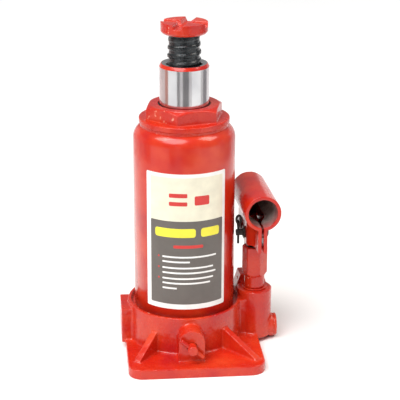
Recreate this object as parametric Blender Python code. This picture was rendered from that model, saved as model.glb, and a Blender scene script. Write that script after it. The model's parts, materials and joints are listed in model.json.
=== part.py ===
"""Ten tonne class hydraulic bottle jack, modelled piece by piece.

Lengths are written in millimetres and scaled to metres when a mesh is made.
+Z is up and the origin is on the ram's axis, at the underside of the base.
The pump stands at +X and its handle socket opens towards -Y.
"""
import math

import bmesh
import bpy
from mathutils import Matrix, Vector

MM = 0.001
GAP = 0.3
LARGE, MEDIUM, SMALL = 44, 28, 14
SOCKET_STEPS = 18
ABOVE = 5.0

# Base casting
FOOT_LEFT, FOOT_RIGHT = -53.6, 64.5
FOOT_FRONT, FOOT_BACK = -79.5, 62.0
FOOT_THICK = 8.5
FOOT_CORNER = 13.0
DRUM_R = 49.8
COLLAR_TOP = 41.0
GROOVE_IN, GROOVE_OUT, GROOVE_FLOOR = 41.1, 47.2, 33.5
PLATFORM_TOP = 37.0
CHAMBER_FLOOR = 26.0
RIB_WIDTH = 6.0
LUG_LEFT, LUG_HALF, LUG_LOW, LUG_TOP = -57.0, 17.0, 6.0, 38.0
ARCH_X, ARCH_HALF, ARCH_FRONT, ARCH_SPRING = 1.4, 11.2, -65.0, 25.6

# Tank, cylinder and top nut
TANK_R, TANK_WALL = 44.0, 2.5
TANK_BOTTOM, SHOULDER_Z, SHOULDER_R = 35.0, 191.6, 12.0
BORE_R, CYLINDER_R = 23.5, 28.5
CYLINDER_BOTTOM, CYLINDER_TOP = 27.9, 197.5
FLANGE_R, FLANGE_LOW, FLANGE_TOP = 38.9, 203.5, 208.2
NUT_FLATS, NUT_TOP = 60.0, 220.5
NUT_PHASE = 16.0

# Ram and extension screw
RAM_R, RAM_LOW, RAM_TOP = 21.25, 79.8, 255.8
RAM_THREAD_R, RAM_HOLLOW_R, RAM_THREAD_LOW = 15.0, 16.8, 231.5
PISTON_R, PISTON_LOW, PISTON_TOP = 23.0, 63.0, 79.5
SCREW_R, SCREW_ROOT, SCREW_PITCH = 14.5, 13.1, 7.0
SCREW_LOW, SCREW_THREAD_LOW, SCREW_THREAD_TOP = 171.0, 178.0, 273.0
SADDLE_R, SADDLE_LOW, SADDLE_TOP = 19.9, 281.5, 291.1
SADDLE_TURN = -22.0

# Pump, in a frame on the pump's axis: side (+X), back (+Y) and height
PUMP_X = 63.0
PUMP_TURN = 3.0
BOSS_R, BOSS_LOW, BOSS_TOP = 15.5, 4.0, 48.5
HEX_FLATS, HEX_LOW, HEX_TOP, HEX_PHASE = 19.5, 60.7, 88.4, 47.0
PLUNGER_R = 6.0
PIN_R, PIN_HOLE_R = 4.0, 4.4
LEVER = 20.0
PIN_Z = 101.5
LINK_BASE_Z = 47.0
LINK_EYE_R, LINK_WAIST = 7.4, 4.6
SOCKET_Z, SOCKET_R, SOCKET_WALL = 130.5, 15.85, 3.2
SOCKET_FRONT, SOCKET_REAR = -36.0, 34.0
FORK_GAP, PINCH_GAP = 6.3, 0.9

# Valves
GALLERY_Z = 11.0
PLUG_BOSS_R, PLUG_BOSS_END = 10.6, 80.2
VALVE_Z = 22.0


# ---------------------------------------------------------------- helpers
def clear_scene():
    for old in list(bpy.data.objects):
        bpy.data.objects.remove(old)


def material(name, colour, roughness, metallic=0.0):
    """A Principled material of one finish."""
    made = bpy.data.materials.new(name)
    made.use_nodes = True
    shader = made.node_tree.nodes["Principled BSDF"]
    shader.inputs["Base Color"].default_value = (*colour, 1.0)
    shader.inputs["Roughness"].default_value = roughness
    shader.inputs["Metallic"].default_value = metallic
    made.diffuse_color = (*colour, 1.0)
    return made


def to_object(name, bm):
    """Close a bmesh into an object, faces outwards, scaled to metres."""
    bmesh.ops.recalc_face_normals(bm, faces=bm.faces)
    bmesh.ops.scale(bm, vec=(MM, MM, MM), verts=bm.verts)
    mesh = bpy.data.meshes.new(name)
    bm.to_mesh(mesh)
    bm.free()
    made = bpy.data.objects.new(name, mesh)
    bpy.context.scene.collection.objects.link(made)
    return made


def turned(name, profile, segments, frame=Matrix.Identity(4), phase=0.0):
    """Turn a closed outline of (radius, height) points round the frame's Z axis."""
    bm = bmesh.new()
    rings = []
    for radius, height in profile:
        if radius == 0.0:
            rings.append([bm.verts.new(frame @ Vector((0.0, 0.0, height)))])
            continue
        ring = []
        for step in range(segments):
            angle = math.radians(phase) + math.tau * step / segments
            point = Vector((radius * math.cos(angle), radius * math.sin(angle), height))
            ring.append(bm.verts.new(frame @ point))
        rings.append(ring)
    for ring, following in zip(rings, rings[1:] + rings[:1]):
        join_rings(bm, ring, following)
    return to_object(name, bm)


def join_rings(bm, ring, following):
    """Skin two neighbouring rings; a ring of one vertex is a tip on the axis."""
    count = max(len(ring), len(following))
    if count == 1:
        return
    for step in range(count):
        after = (step + 1) % count
        if len(ring) == 1:
            bm.faces.new((ring[0], following[step], following[after]))
        elif len(following) == 1:
            bm.faces.new((ring[step], ring[after], following[0]))
        else:
            bm.faces.new((ring[step], ring[after], following[after], following[step]))


def prism(name, outline, low, high, frame=Matrix.Identity(4)):
    """Extrude a flat outline along the frame's Z axis."""
    bm = bmesh.new()
    floor = [bm.verts.new(frame @ Vector((x, y, low))) for x, y in outline]
    roof = [bm.verts.new(frame @ Vector((x, y, high))) for x, y in outline]
    bm.faces.new(floor)
    bm.faces.new(roof)
    join_rings(bm, floor, roof)
    return to_object(name, bm)


def block(name, low, high, frame=Matrix.Identity(4)):
    """A box between two corners."""
    outline = ((low[0], low[1]), (high[0], low[1]), (high[0], high[1]), (low[0], high[1]))
    return prism(name, outline, low[2], high[2], frame)


def rod(name, radius, start, end, segments=16, phase=0.0):
    """A round bar from one point to another."""
    length = span(start, end)
    outline = ((0.0, 0.0), (radius, 0.0), (radius, length), (0.0, length))
    return turned(name, outline, segments, along(start, end), phase)


def span(start, end):
    """Distance between two points."""
    return (Vector(end) - Vector(start)).length


def along(start, end):
    """A frame at start whose Z axis points to end."""
    axis = (Vector(end) - Vector(start)).normalized()
    return Matrix.Translation(start) @ axis.to_track_quat("Z", "Y").to_matrix().to_4x4()


def ball(name, radius, centre):
    bm = bmesh.new()
    bmesh.ops.create_icosphere(bm, subdivisions=2, radius=radius, matrix=Matrix.Translation(centre))
    return to_object(name, bm)


def tube_along(name, points, radius, sides=8):
    """A round wire through a list of points, with flat ends."""
    bm = bmesh.new()
    rings = []
    for index, point in enumerate(points):
        before = Vector(points[max(index - 1, 0)])
        after = Vector(points[min(index + 1, len(points) - 1)])
        turn = (after - before).normalized().to_track_quat("Z", "Y").to_matrix()
        ring = []
        for side in range(sides):
            angle = math.tau * side / sides
            offset = Vector((radius * math.cos(angle), radius * math.sin(angle), 0.0))
            ring.append(bm.verts.new(Vector(point) + turn @ offset))
        rings.append(ring)
    for ring, following in zip(rings, rings[1:]):
        nearest = min(range(sides), key=lambda shift: (ring[0].co - following[shift].co).length)
        following[:] = following[nearest:] + following[:nearest]
        join_rings(bm, ring, following)
    bm.faces.new(rings[0])
    bm.faces.new(rings[-1])
    bmesh.ops.triangulate(bm, faces=bm.faces)
    return to_object(name, bm)


def coil(name, centre, axis_end, radius, wire, turns, per_turn=12):
    """A compression spring wound about the line from centre to axis_end."""
    frame = along(centre, axis_end)
    length = span(centre, axis_end)
    points = []
    for step in range(turns * per_turn + 1):
        share = step / (turns * per_turn)
        angle = math.tau * turns * share
        points.append(frame @ Vector((radius * math.cos(angle), radius * math.sin(angle), length * share)))
    return tube_along(name, points, wire, 4)


def combine(target, tool, operation):
    """Apply an exact Boolean and drop the tool."""
    modifier = target.modifiers.new("Combine", "BOOLEAN")
    modifier.operation = operation
    modifier.solver = "EXACT"
    modifier.object = tool
    bpy.context.view_layer.update()
    depsgraph = bpy.context.evaluated_depsgraph_get()
    result = bpy.data.meshes.new_from_object(target.evaluated_get(depsgraph))
    target.modifiers.clear()
    target.data = result
    bpy.data.objects.remove(tool)


def fuse(target, *tools):
    for tool in tools:
        combine(target, tool, "UNION")


def cut(target, *tools):
    for tool in tools:
        combine(target, tool, "DIFFERENCE")


def bevel(target, width, segments=1, angle=40.0):
    """Round the edges sharper than an angle."""
    modifier = target.modifiers.new("Round edges", "BEVEL")
    modifier.width = width * MM
    modifier.segments = segments
    modifier.limit_method = "ANGLE"
    modifier.angle_limit = math.radians(angle)
    bpy.context.view_layer.update()
    depsgraph = bpy.context.evaluated_depsgraph_get()
    result = bpy.data.meshes.new_from_object(target.evaluated_get(depsgraph))
    target.modifiers.clear()
    target.data = result


def finish(piece, finish_material, parent=None, offset=(0.0, 0.0, 0.0)):
    """Give a piece its material, shade it and hang it on its parent."""
    piece.data.name = piece.name
    piece.data.materials.clear()
    piece.data.materials.append(finish_material)
    piece.data.shade_smooth()
    piece.data.set_sharp_from_angle(angle=math.radians(35.0))
    if parent is not None:
        piece.parent = parent
        piece.location = Vector(offset) * MM


def axis_empty(name, location, parent=None, turn=0.0):
    """An empty that marks a joint's axis."""
    made = bpy.data.objects.new(name, None)
    made.empty_display_size = 10.0 * MM
    made.location = Vector(location) * MM
    made.rotation_euler = (0.0, 0.0, math.radians(turn))
    made.parent = parent
    bpy.context.scene.collection.objects.link(made)
    return made


def rounded_rectangle(left, right, front, back, corner, steps=6):
    """Outline of a rectangle with round corners, anticlockwise."""
    centres = ((right - corner, back - corner, 0.0), (left + corner, back - corner, 90.0),
               (left + corner, front + corner, 180.0), (right - corner, front + corner, 270.0))
    outline = []
    for x, y, first in centres:
        for step in range(steps + 1):
            angle = math.radians(first + 90.0 * step / steps)
            outline.append((x + corner * math.cos(angle), y + corner * math.sin(angle)))
    return outline


def arc(centre_r, centre_z, radius, first, last, steps):
    """Points of an arc in an outline of (radius, height)."""
    points = []
    for step in range(steps + 1):
        angle = math.radians(first + (last - first) * step / steps)
        points.append((centre_r + radius * math.cos(angle), centre_z + radius * math.sin(angle)))
    return points


def ring_outline(inner, outer, low, high, corner=0.0):
    """Outline of a flat ring, with its four corners cut when a corner is given."""
    if corner == 0.0:
        return ((inner, low), (outer, low), (outer, high), (inner, high))
    return ((inner + corner, low), (outer - corner, low), (outer, low + corner), (outer, high - corner),
            (outer - corner, high), (inner + corner, high), (inner, high - corner), (inner, low + corner))


def lying(side, back, height):
    """A frame whose Z axis runs sideways along +X, through a point."""
    return Matrix.Translation((side, back, height)) @ Matrix.Rotation(math.radians(90.0), 4, "Y")


# The pump frame stands on the pump's axis, turned a little about it
PUMP_FRAME = Matrix.Translation((PUMP_X, 0.0, 0.0)) @ Matrix.Rotation(math.radians(PUMP_TURN), 4, "Z")

# Frames that stand an outline upright and extrude it to -Y, +Y or +X
TO_FRONT = Matrix(((1.0, 0.0, 0.0), (0.0, 0.0, -1.0), (0.0, 1.0, 0.0))).to_4x4()
TO_BACK = Matrix(((1.0, 0.0, 0.0), (0.0, 0.0, 1.0), (0.0, 1.0, 0.0))).to_4x4()
SIDEWAYS = Matrix(((0.0, 0.0, 1.0), (1.0, 0.0, 0.0), (0.0, 1.0, 0.0))).to_4x4()


# ---------------------------------------------------------------- base casting
def rib(foot_x, foot_y):
    """A buttress from the drum down to a foot corner, flat on top."""
    reach = math.hypot(foot_x, foot_y)
    half = RIB_WIDTH / 2.0
    side_view = ((40.0, 2.0), (reach, 2.0), (reach, FOOT_THICK + 1.0), (48.0, 27.5), (40.0, 27.5))
    turn = Matrix.Rotation(math.atan2(foot_y, foot_x), 4, "Z")
    return prism("rib", side_view, -half, half, turn @ TO_FRONT)


def front_arch():
    """The round-topped boss that holds the release valve."""
    outline = [(ARCH_X - ARCH_HALF, 4.0), (ARCH_X + ARCH_HALF, 4.0)]
    for step in range(13):
        angle = math.pi * step / 12
        outline.append((ARCH_X + ARCH_HALF * math.cos(angle), ARCH_SPRING + ARCH_HALF * math.sin(angle)))
    return prism("arch", outline, 30.0, -ARCH_FRONT, TO_FRONT)


def link_lug():
    """The lug behind the pump boss, wider towards its foot."""
    outline = ((-15.4, 3.0), (15.4, 3.0), (15.4, 40.0), (10.4, 55.5), (-10.4, 55.5), (-15.4, 40.0))
    return prism("lug", outline, 12.4, 29.5, PUMP_FRAME @ TO_BACK)


def base_casting(paint):
    """Foot, drum, lugs, bosses and the drilled oil ways, as one casting."""
    outline = rounded_rectangle(FOOT_LEFT, FOOT_RIGHT, FOOT_FRONT, FOOT_BACK, FOOT_CORNER)
    base = prism("base_casting", outline, 0.0, FOOT_THICK)
    bevel(base, 1.2, 2)
    drum = turned("drum", ((0.0, 3.0), (50.8, 3.0), (50.4, FOOT_THICK), (DRUM_R, COLLAR_TOP - 1.4),
                           (DRUM_R - 1.2, COLLAR_TOP), (0.0, COLLAR_TOP)), LARGE)
    lug = block("left_lug", (LUG_LEFT, -LUG_HALF, LUG_LOW), (-30.0, LUG_HALF, LUG_TOP))
    bevel(lug, 1.6, 2)
    web = block("web", (35.0, -12.6, 3.0), (PUMP_X, 12.6, COLLAR_TOP - 0.3))
    bevel(web, 1.2, 2)
    boss = turned("boss", ((0.0, BOSS_LOW), (BOSS_R - 1.0, BOSS_LOW), (BOSS_R, BOSS_LOW + 1.0),
                           (BOSS_R, BOSS_TOP - 1.2), (BOSS_R - 1.2, BOSS_TOP), (0.0, BOSS_TOP)),
                  36, Matrix.Translation((PUMP_X, 0.0, 0.0)))
    plug_boss = rod("plug_boss", PLUG_BOSS_R, (PUMP_X - 5.0, 0.0, GALLERY_Z), (PLUG_BOSS_END, 0.0, GALLERY_Z), 28)
    corners = ((-46.0, -63.5), (58.0, -67.0), (58.0, 54.0), (-46.0, 54.0))
    fuse(base, drum, lug, front_arch(), web, boss, plug_boss, link_lug(), *(rib(x, y) for x, y in corners))
    hollow_base(base)
    drill_base(base)
    finish(base, paint)


def hollow_base(base):
    """Turn out the tank's groove, the oil floor and the cylinder's seat in one cut."""
    seat_r = CYLINDER_R + 0.4
    above = COLLAR_TOP + ABOVE
    outline = ((0.0, CHAMBER_FLOOR), (seat_r, CHAMBER_FLOOR), (seat_r, PLATFORM_TOP),
               (GROOVE_IN, PLATFORM_TOP), (GROOVE_IN, GROOVE_FLOOR), (GROOVE_OUT, GROOVE_FLOOR),
               (GROOVE_OUT, above), (0.0, above))
    cut(base, turned("hollow", outline, LARGE))


def drill_base(base):
    """Drill the valve seats and the oil ways between pump, tank and cylinder."""
    pump = (PUMP_X, 0.0)
    ways = (
        (8.4, (*pump, BOSS_TOP + 3.0), (*pump, CHAMBER_FLOOR), 20),
        (3.3, (*pump, CHAMBER_FLOOR + 1.0), (*pump, 23.2), 12),
        (1.4, (*pump, 24.0), (*pump, 19.3), 8),
        (1.5, (PUMP_X + 0.4, 0.23, 20.0), (30.9, 15.89, 20.0), 8),
        (1.5, (31.5, 16.2, 19.2), (31.5, 16.2, PLATFORM_TOP + 3.0), 8),
        (6.6, (PLUG_BOSS_END + 3.0, 0.0, GALLERY_Z), (68.9, 0.0, GALLERY_Z), 18),
        (4.2, (71.0, 0.0, GALLERY_Z), (58.5, 0.0, GALLERY_Z), 14),
        (1.4, (59.0, 0.0, GALLERY_Z), (55.5, 0.0, GALLERY_Z), 8),
        (1.3, (56.6, 0.0, GALLERY_Z - 0.6), (56.6, 0.0, CHAMBER_FLOOR + 1.0), 8),
        (1.5, (66.0, 4.2, GALLERY_Z), (-0.9, -0.057, GALLERY_Z), 8),
        (2.0, (0.0, 0.0, GALLERY_Z - 0.7), (0.0, 0.0, CHAMBER_FLOOR + 1.0), 10),
        (5.4, (ARCH_X, ARCH_FRONT - 3.0, VALVE_Z), (ARCH_X, -42.0, VALVE_Z), 20),
        (3.3, (ARCH_X, -43.0, VALVE_Z), (ARCH_X, -37.0, VALVE_Z), 12),
        (1.5, (ARCH_X, -38.0, VALVE_Z), (0.05, -1.1, VALVE_Z), 8),
        (1.5, (ARCH_X, -38.8, VALVE_Z + 1.0), (ARCH_X, -38.8, PLATFORM_TOP + 3.0), 8),
        (5.4, (LUG_LEFT - 3.0, 0.0, VALVE_Z), (-46.0, 0.0, VALVE_Z), 20),
        (3.3, (-47.0, 0.0, VALVE_Z), (-37.0, 0.0, VALVE_Z), 12),
        (1.5, (-38.0, 0.0, VALVE_Z), (-1.1, 0.0, VALVE_Z), 8),
        (1.2, (-38.9, 0.0, VALVE_Z + 1.0), (-38.9, 0.0, PLATFORM_TOP + 3.0), 8),
    )
    for index, (radius, start, end, sides) in enumerate(ways):
        cut(base, rod("oil_way", radius, start, end, sides, phase=7.0 * index + 3.0))
    cut(base, block("fork_slot", (-FORK_GAP, 12.2, 38.6), (FORK_GAP, 40.0, 70.0), PUMP_FRAME))
    left, right = (-20.0, LEVER, LINK_BASE_Z), (20.0, LEVER, LINK_BASE_Z)
    cut(base, rod("link_hole", PIN_HOLE_R, PUMP_FRAME @ Vector(left), PUMP_FRAME @ Vector(right), 16))


# ---------------------------------------------------------------- tank and top
def reservoir_tank(paint):
    """Drawn steel tank: a straight wall, a round shoulder and an open top."""
    shoulder = TANK_R - SHOULDER_R
    outer = arc(shoulder, SHOULDER_Z, SHOULDER_R, 0.0, 90.0, 6)
    inner = arc(shoulder, SHOULDER_Z, SHOULDER_R - TANK_WALL, 90.0, 0.0, 3)
    outline = [(TANK_R - TANK_WALL, TANK_BOTTOM), (TANK_R, TANK_BOTTOM), *outer]
    tank = turned("reservoir_tank", [*outline, *inner], LARGE)
    cut(tank, turned("mouth", ((0.0, 190.0), (33.6, 190.0), (33.6, 210.0), (0.0, 210.0)), MEDIUM))
    cut(tank, rod("filler_hole", 5.3, (0.0, 35.0, 168.0), (0.0, 50.0, 168.0), SMALL))
    finish(tank, paint)


def tank_fittings(rubber, copper, vinyl):
    """Seals under and over the tank, the filler plug and the label."""
    seal = turned("tank_seal", ring_outline(41.6, 43.9, 33.8, 34.7), LARGE)
    finish(seal, rubber)
    gasket = turned("tank_top_gasket", ring_outline(33.9, 35.3, 203.9, 204.5), MEDIUM)
    finish(gasket, rubber)
    ring = turned("cylinder_gasket", ring_outline(23.9, 28.2, CHAMBER_FLOOR + GAP, 27.6), MEDIUM)
    finish(ring, copper)
    stub = along((0.0, 38.0, 168.0), (0.0, 50.0, 168.0))
    plug = turned("oil_filler_plug", ((0.0, 0.0), (4.6, 0.0), (5.0, 1.5), (5.0, 6.4), (7.6, 6.7), (7.6, 7.8),
                                      (6.2, 9.2), (0.0, 9.6)), SMALL, stub)
    finish(plug, rubber)
    label = label_sheet()
    finish(label, vinyl)


def label_sheet():
    """The wrap-round label: a thin sheet that follows the tank."""
    bm = bmesh.new()
    first, last, steps = math.radians(-140.4), math.radians(-43.8), 20
    corners = ((TANK_R + GAP, 48.2), (TANK_R + 0.6, 48.2), (TANK_R + 0.6, 170.8), (TANK_R + GAP, 170.8))
    sections = []
    for step in range(steps + 1):
        angle = first + (last - first) * step / steps
        sections.append([bm.verts.new((r * math.cos(angle), r * math.sin(angle), z)) for r, z in corners])
    for section, following in zip(sections, sections[1:]):
        join_rings(bm, section, following)
    bm.faces.new(sections[0])
    bm.faces.new(sections[-1])
    return to_object("label", bm)


def pressure_cylinder(steel):
    tube = turned("pressure_cylinder", ring_outline(BORE_R, CYLINDER_R, CYLINDER_BOTTOM, CYLINDER_TOP), MEDIUM)
    finish(tube, steel)


def top_nut(paint):
    """Hexagon over a round flange, with a skirt that holds tank and cylinder."""
    circum = NUT_FLATS / 2.0 / math.cos(math.radians(30.0))
    nut = turned("top_nut", ((0.0, 206.0), (circum, 206.0), (circum, NUT_TOP), (0.0, NUT_TOP)), 6, phase=NUT_PHASE)
    cone = turned("chamfer", ((0.0, 200.0), (40.0, 200.0), (40.0, 214.6), (29.8, NUT_TOP), (0.0, NUT_TOP)), LARGE)
    combine(nut, cone, "INTERSECT")
    body = turned("nut_body", ((0.0, 186.0), (33.2, 186.0), (33.2, 204.8), (35.6, 204.8), (35.6, FLANGE_LOW),
                               (FLANGE_R - 0.8, FLANGE_LOW), (FLANGE_R, FLANGE_LOW + 0.8),
                               (FLANGE_R, FLANGE_TOP - 1.0), (FLANGE_R - 1.0, FLANGE_TOP), (0.0, FLANGE_TOP)), LARGE)
    fuse(nut, body)
    bore = turned("nut_bore", ((0.0, 180.0), (CYLINDER_R + 0.4, 180.0), (CYLINDER_R + 0.4, 198.0), (21.7, 198.0),
                               (21.7, 203.0), (24.5, 203.0), (24.5, 206.6), (21.7, 206.6), (21.7, 215.8),
                               (23.4, 215.8), (23.4, 225.0), (0.0, 225.0)), MEDIUM)
    cut(nut, bore)
    finish(nut, paint)


def nut_seals(rubber):
    ring = turned("ram_o_ring", ring_outline(21.65, 24.2, 203.3, 206.3), MEDIUM)
    finish(ring, rubber)
    wiper = turned("ram_wiper", ((21.9, 216.1), (23.1, 216.1), (23.1, 219.7), (22.4, 220.2), (21.6, 219.9),
                                 (21.6, 218.4)), MEDIUM)
    finish(wiper, rubber)


# ---------------------------------------------------------------- ram
def ram_pieces(steel, rubber, bronze, parent):
    """Tubular ram with a screwed-in piston, its cup seal and guide ring."""
    ram = turned("ram", ((RAM_HOLLOW_R, RAM_LOW), (RAM_R - 0.4, RAM_LOW), (RAM_R, RAM_LOW + 0.8),
                         (RAM_R, RAM_TOP - 1.6), (RAM_R - 1.6, RAM_TOP), (RAM_THREAD_R + 1.0, RAM_TOP),
                         (RAM_THREAD_R, RAM_TOP - 1.0), (RAM_THREAD_R, RAM_THREAD_LOW),
                         (RAM_HOLLOW_R, RAM_THREAD_LOW)), MEDIUM)
    finish(ram, steel, parent)
    piston = turned("piston", ((0.0, PISTON_LOW), (22.2, PISTON_LOW), (PISTON_R, 63.8), (PISTON_R, 65.5),
                               (19.6, 65.5), (19.6, 71.5), (PISTON_R, 71.5), (PISTON_R, 73.2), (20.8, 73.2),
                               (20.8, 77.8), (PISTON_R, 77.8), (PISTON_R, PISTON_TOP), (16.4, PISTON_TOP),
                               (16.4, 94.0), (0.0, 94.0)), MEDIUM)
    finish(piston, steel, parent)
    cup = turned("piston_cup_seal", ((19.9, 65.8), (22.0, 65.8), (23.2, 66.8), (23.2, 71.2), (22.4, 71.2),
                                     (21.4, 68.6), (20.9, 71.2), (19.9, 71.2)), MEDIUM)
    finish(cup, rubber, parent)
    guide = turned("piston_guide_ring", ring_outline(21.1, 23.2, 73.5, 77.5), MEDIUM)
    finish(guide, bronze, parent)


def extension_screw(dark_steel, parent):
    """Core turned to shape with a rounded right-hand thread wound on it."""
    columns, rows_per_turn = 14, 4
    crests = (SCREW_ROOT, SCREW_R - 0.35, SCREW_R, SCREW_ROOT + 0.35)
    bm = bmesh.new()

    def ring(radius, height):
        points = []
        for step in range(columns):
            angle = math.tau * step / columns
            points.append(bm.verts.new((radius * math.cos(angle), radius * math.sin(angle), height)))
        return points

    lower = [ring(*at) for at in ((12.2, SCREW_LOW), (13.0, SCREW_LOW + 0.8), (13.0, 174.0), (11.8, 174.0),
                                  (11.8, 176.2), (SCREW_ROOT, 176.2), (SCREW_ROOT, SCREW_THREAD_LOW - 0.5))]
    upper = [ring(*at) for at in ((SCREW_ROOT, SCREW_THREAD_TOP + 0.5), (12.5, SCREW_THREAD_TOP + 1.5),
                                  (12.5, SADDLE_LOW - GAP), (7.7, SADDLE_LOW - GAP), (7.7, 285.4))]
    turns = int((SCREW_THREAD_TOP - SCREW_THREAD_LOW) / SCREW_PITCH) - 1
    rows = turns * rows_per_turn
    thread = []
    for step in range(columns):
        angle = math.tau * step / columns
        column = []
        for row in range(rows + 1):
            height = SCREW_THREAD_LOW + SCREW_PITCH * (row / rows_per_turn + step / columns)
            radius = SCREW_ROOT if row in (0, rows) else crests[row % rows_per_turn]
            column.append(bm.verts.new((radius * math.cos(angle), radius * math.sin(angle), height)))
        thread.append(column)
    for step in range(columns - 1):
        for row in range(rows):
            bm.faces.new((thread[step][row], thread[step + 1][row], thread[step + 1][row + 1], thread[step][row + 1]))
        bm.faces.new((lower[-1][step], lower[-1][step + 1], thread[step + 1][0], thread[step][0]))
        bm.faces.new((upper[0][step], upper[0][step + 1], thread[step + 1][rows], thread[step][rows]))
    close_thread_seam(bm, thread, lower[-1], upper[0], rows_per_turn)
    for group in (lower, upper):
        for first, second in zip(group, group[1:]):
            join_rings(bm, first, second)
    bm.faces.new(lower[0])
    bm.faces.new(upper[-1])
    screw = to_object("extension_screw", bm)
    finish(screw, dark_steel, parent)


def close_thread_seam(bm, thread, lower_ring, upper_ring, shift):
    """Join the last column of the thread to the first, one turn higher."""
    last, first = thread[-1], thread[0]
    rows = len(first) - 1
    for row in range(rows - shift):
        bm.faces.new((last[row], first[row + shift], first[row + shift + 1], last[row + 1]))
    bm.faces.new((last[0], lower_ring[-1], lower_ring[0]))
    bm.faces.new((last[0], lower_ring[0], first[0]))
    for row in range(shift):
        bm.faces.new((last[0], first[row], first[row + 1]))
        bm.faces.new((first[rows], last[rows - shift + row], last[rows - shift + row + 1]))
    bm.faces.new((first[rows], last[rows], upper_ring[-1]))
    bm.faces.new((first[rows], upper_ring[-1], upper_ring[0]))


def saddle(paint, parent):
    """Forged saddle with two grooves across its face, blind on its tenon."""
    head = turned("saddle", ((0.0, SADDLE_LOW), (SADDLE_R - 1.6, SADDLE_LOW), (SADDLE_R - 0.4, SADDLE_LOW + 1.6),
                             (SADDLE_R, SADDLE_LOW + 3.0), (SADDLE_R, SADDLE_TOP - 1.2),
                             (SADDLE_R - 1.2, SADDLE_TOP), (0.0, SADDLE_TOP)), LARGE)
    for turn in (SADDLE_TURN, SADDLE_TURN + 90.0):
        frame = Matrix.Translation((0.0, 0.0, SADDLE_TOP)) @ Matrix.Rotation(math.radians(turn), 4, "Z")
        side_view = ((-5.2, 1.0), (-3.4, -3.2), (3.4, -3.2), (5.2, 1.0))
        cut(head, prism("groove", side_view, -25.0, 25.0, frame @ TO_BACK))
    cut(head, rod("tenon_hole", 8.1, (0.0, 0.0, SADDLE_LOW - 2.0), (0.0, 0.0, 285.8), 16))
    finish(head, paint, parent)


def stop_ring(steel, parent):
    ring = turned("screw_stop_ring", ring_outline(12.2, 16.3, 174.3, 175.7), 24)
    cut(ring, block("split", (0.0, -1.5, 170.0), (20.0, 1.5, 180.0)))
    finish(ring, steel, parent)


# ---------------------------------------------------------------- pump
def pump_cylinder(paint, rubber, parent):
    """Hexagon bar with a round neck, screwed into the pump boss."""
    circum = HEX_FLATS / 2.0 / math.cos(math.radians(30.0))
    phase = HEX_PHASE - PUMP_TURN
    body = turned("pump_cylinder", ((0.0, HEX_LOW - 2.0), (circum, HEX_LOW - 2.0), (circum, HEX_TOP),
                                    (0.0, HEX_TOP)), 6, phase=phase)
    cone = turned("chamfers", ((0.0, 50.0), (9.0, 50.0), (9.0, HEX_LOW), (9.4, HEX_LOW + 0.4), (13.4, HEX_LOW + 7.0),
                               (13.4, HEX_TOP - 2.2), (9.6, HEX_TOP), (0.0, HEX_TOP)), 24)
    combine(body, cone, "INTERSECT")
    neck = turned("neck", ((0.0, 28.0), (8.0, 28.0), (8.0, 50.2), (9.0, 50.2), (9.0, HEX_LOW + 3.0),
                           (0.0, HEX_LOW + 3.0)), 24)
    fuse(body, neck)
    bore = turned("bore", ((0.0, 20.0), (6.35, 20.0), (6.35, 82.0), (8.2, 82.0), (8.2, 95.0), (0.0, 95.0)), 20)
    cut(body, bore)
    finish(body, paint, parent)
    gasket = turned("pump_gasket", ring_outline(8.4, 11.0, 48.8, 49.9), 24)
    finish(gasket, paint, parent)
    wiper = turned("plunger_wiper", ((6.7, 82.3), (7.9, 82.3), (7.9, 88.6), (7.2, 89.2), (6.35, 88.8), (6.35, 86.0)), 20)
    finish(wiper, rubber, parent)


def plunger_pieces(steel, rubber, dark_steel, parent):
    """Round plunger with a flat eye, its seal, and its pin in the eye."""
    plunger = turned("pump_plunger", ((0.0, 32.0), (5.2, 32.0), (PLUNGER_R, 32.8), (PLUNGER_R, 35.0), (4.2, 35.0),
                                      (4.2, 38.4), (PLUNGER_R, 38.4), (PLUNGER_R, 92.5), (5.2, 94.0),
                                      (0.0, 94.0)), 20)
    eye = prism("eye", eye_outline(7.2, 5.4, 92.2), -5.0, 5.0, SIDEWAYS)
    fuse(plunger, eye)
    cut(plunger, rod("eye_hole", PIN_HOLE_R, (-10.0, 0.0, PIN_Z), (10.0, 0.0, PIN_Z), 16))
    finish(plunger, steel, parent)
    seal = turned("plunger_seal", ring_outline(4.5, 6.05, 35.3, 38.1), 20)
    finish(seal, rubber, parent)
    pin = turned("plunger_pin", ((0.0, -17.4), (2.4, -17.4), (2.9, -16.9), (2.9, -11.7), (PIN_R, -11.2), (PIN_R, 9.9),
                                 (4.8, 9.9), (4.8, 10.8), (4.2, 11.4), (0.0, 11.4)), SMALL, lying(0.0, 0.0, PIN_Z))
    cut(pin, rod("cross_hole", 1.5, (-15.2, 0.0, PIN_Z - 8.0), (-15.2, 0.0, PIN_Z + 8.0), 10))
    finish(pin, dark_steel, parent)
    washer = turned("plunger_pin_washer", ring_outline(PIN_R + 0.35, 5.6, -10.9, -9.9), SMALL, lying(0.0, 0.0, PIN_Z))
    finish(washer, dark_steel, parent)
    split_pin = tube_along("plunger_split_pin", split_pin_path(), 1.1, 8)
    finish(split_pin, dark_steel, parent)


def eye_outline(radius, half_shank, low):
    """Side view of a round eye at the pin's height over a straight shank."""
    outline = [(-half_shank, low), (half_shank, low)]
    lean = math.acos(half_shank / radius)
    for step in range(13):
        angle = -lean + (math.pi + 2.0 * lean) * step / 12
        outline.append((radius * math.cos(angle), PIN_Z + radius * math.sin(angle)))
    return outline


def split_pin_path():
    """Straight leg through the pin, ending in a long open eye."""
    side, top = -15.2, PIN_Z + 12.0
    points = [(side, 0.0, PIN_Z - 10.6), (side, 0.0, PIN_Z - 5.0), (side, 0.0, PIN_Z + 6.0)]
    loop = []
    for step in range(11):
        angle = math.radians(250.0 - 270.0 * step / 10)
        loop.append((side + 0.3 + 2.2 * math.cos(angle), 0.0, top + 3.6 * math.sin(angle)))
    return points + loop


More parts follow.
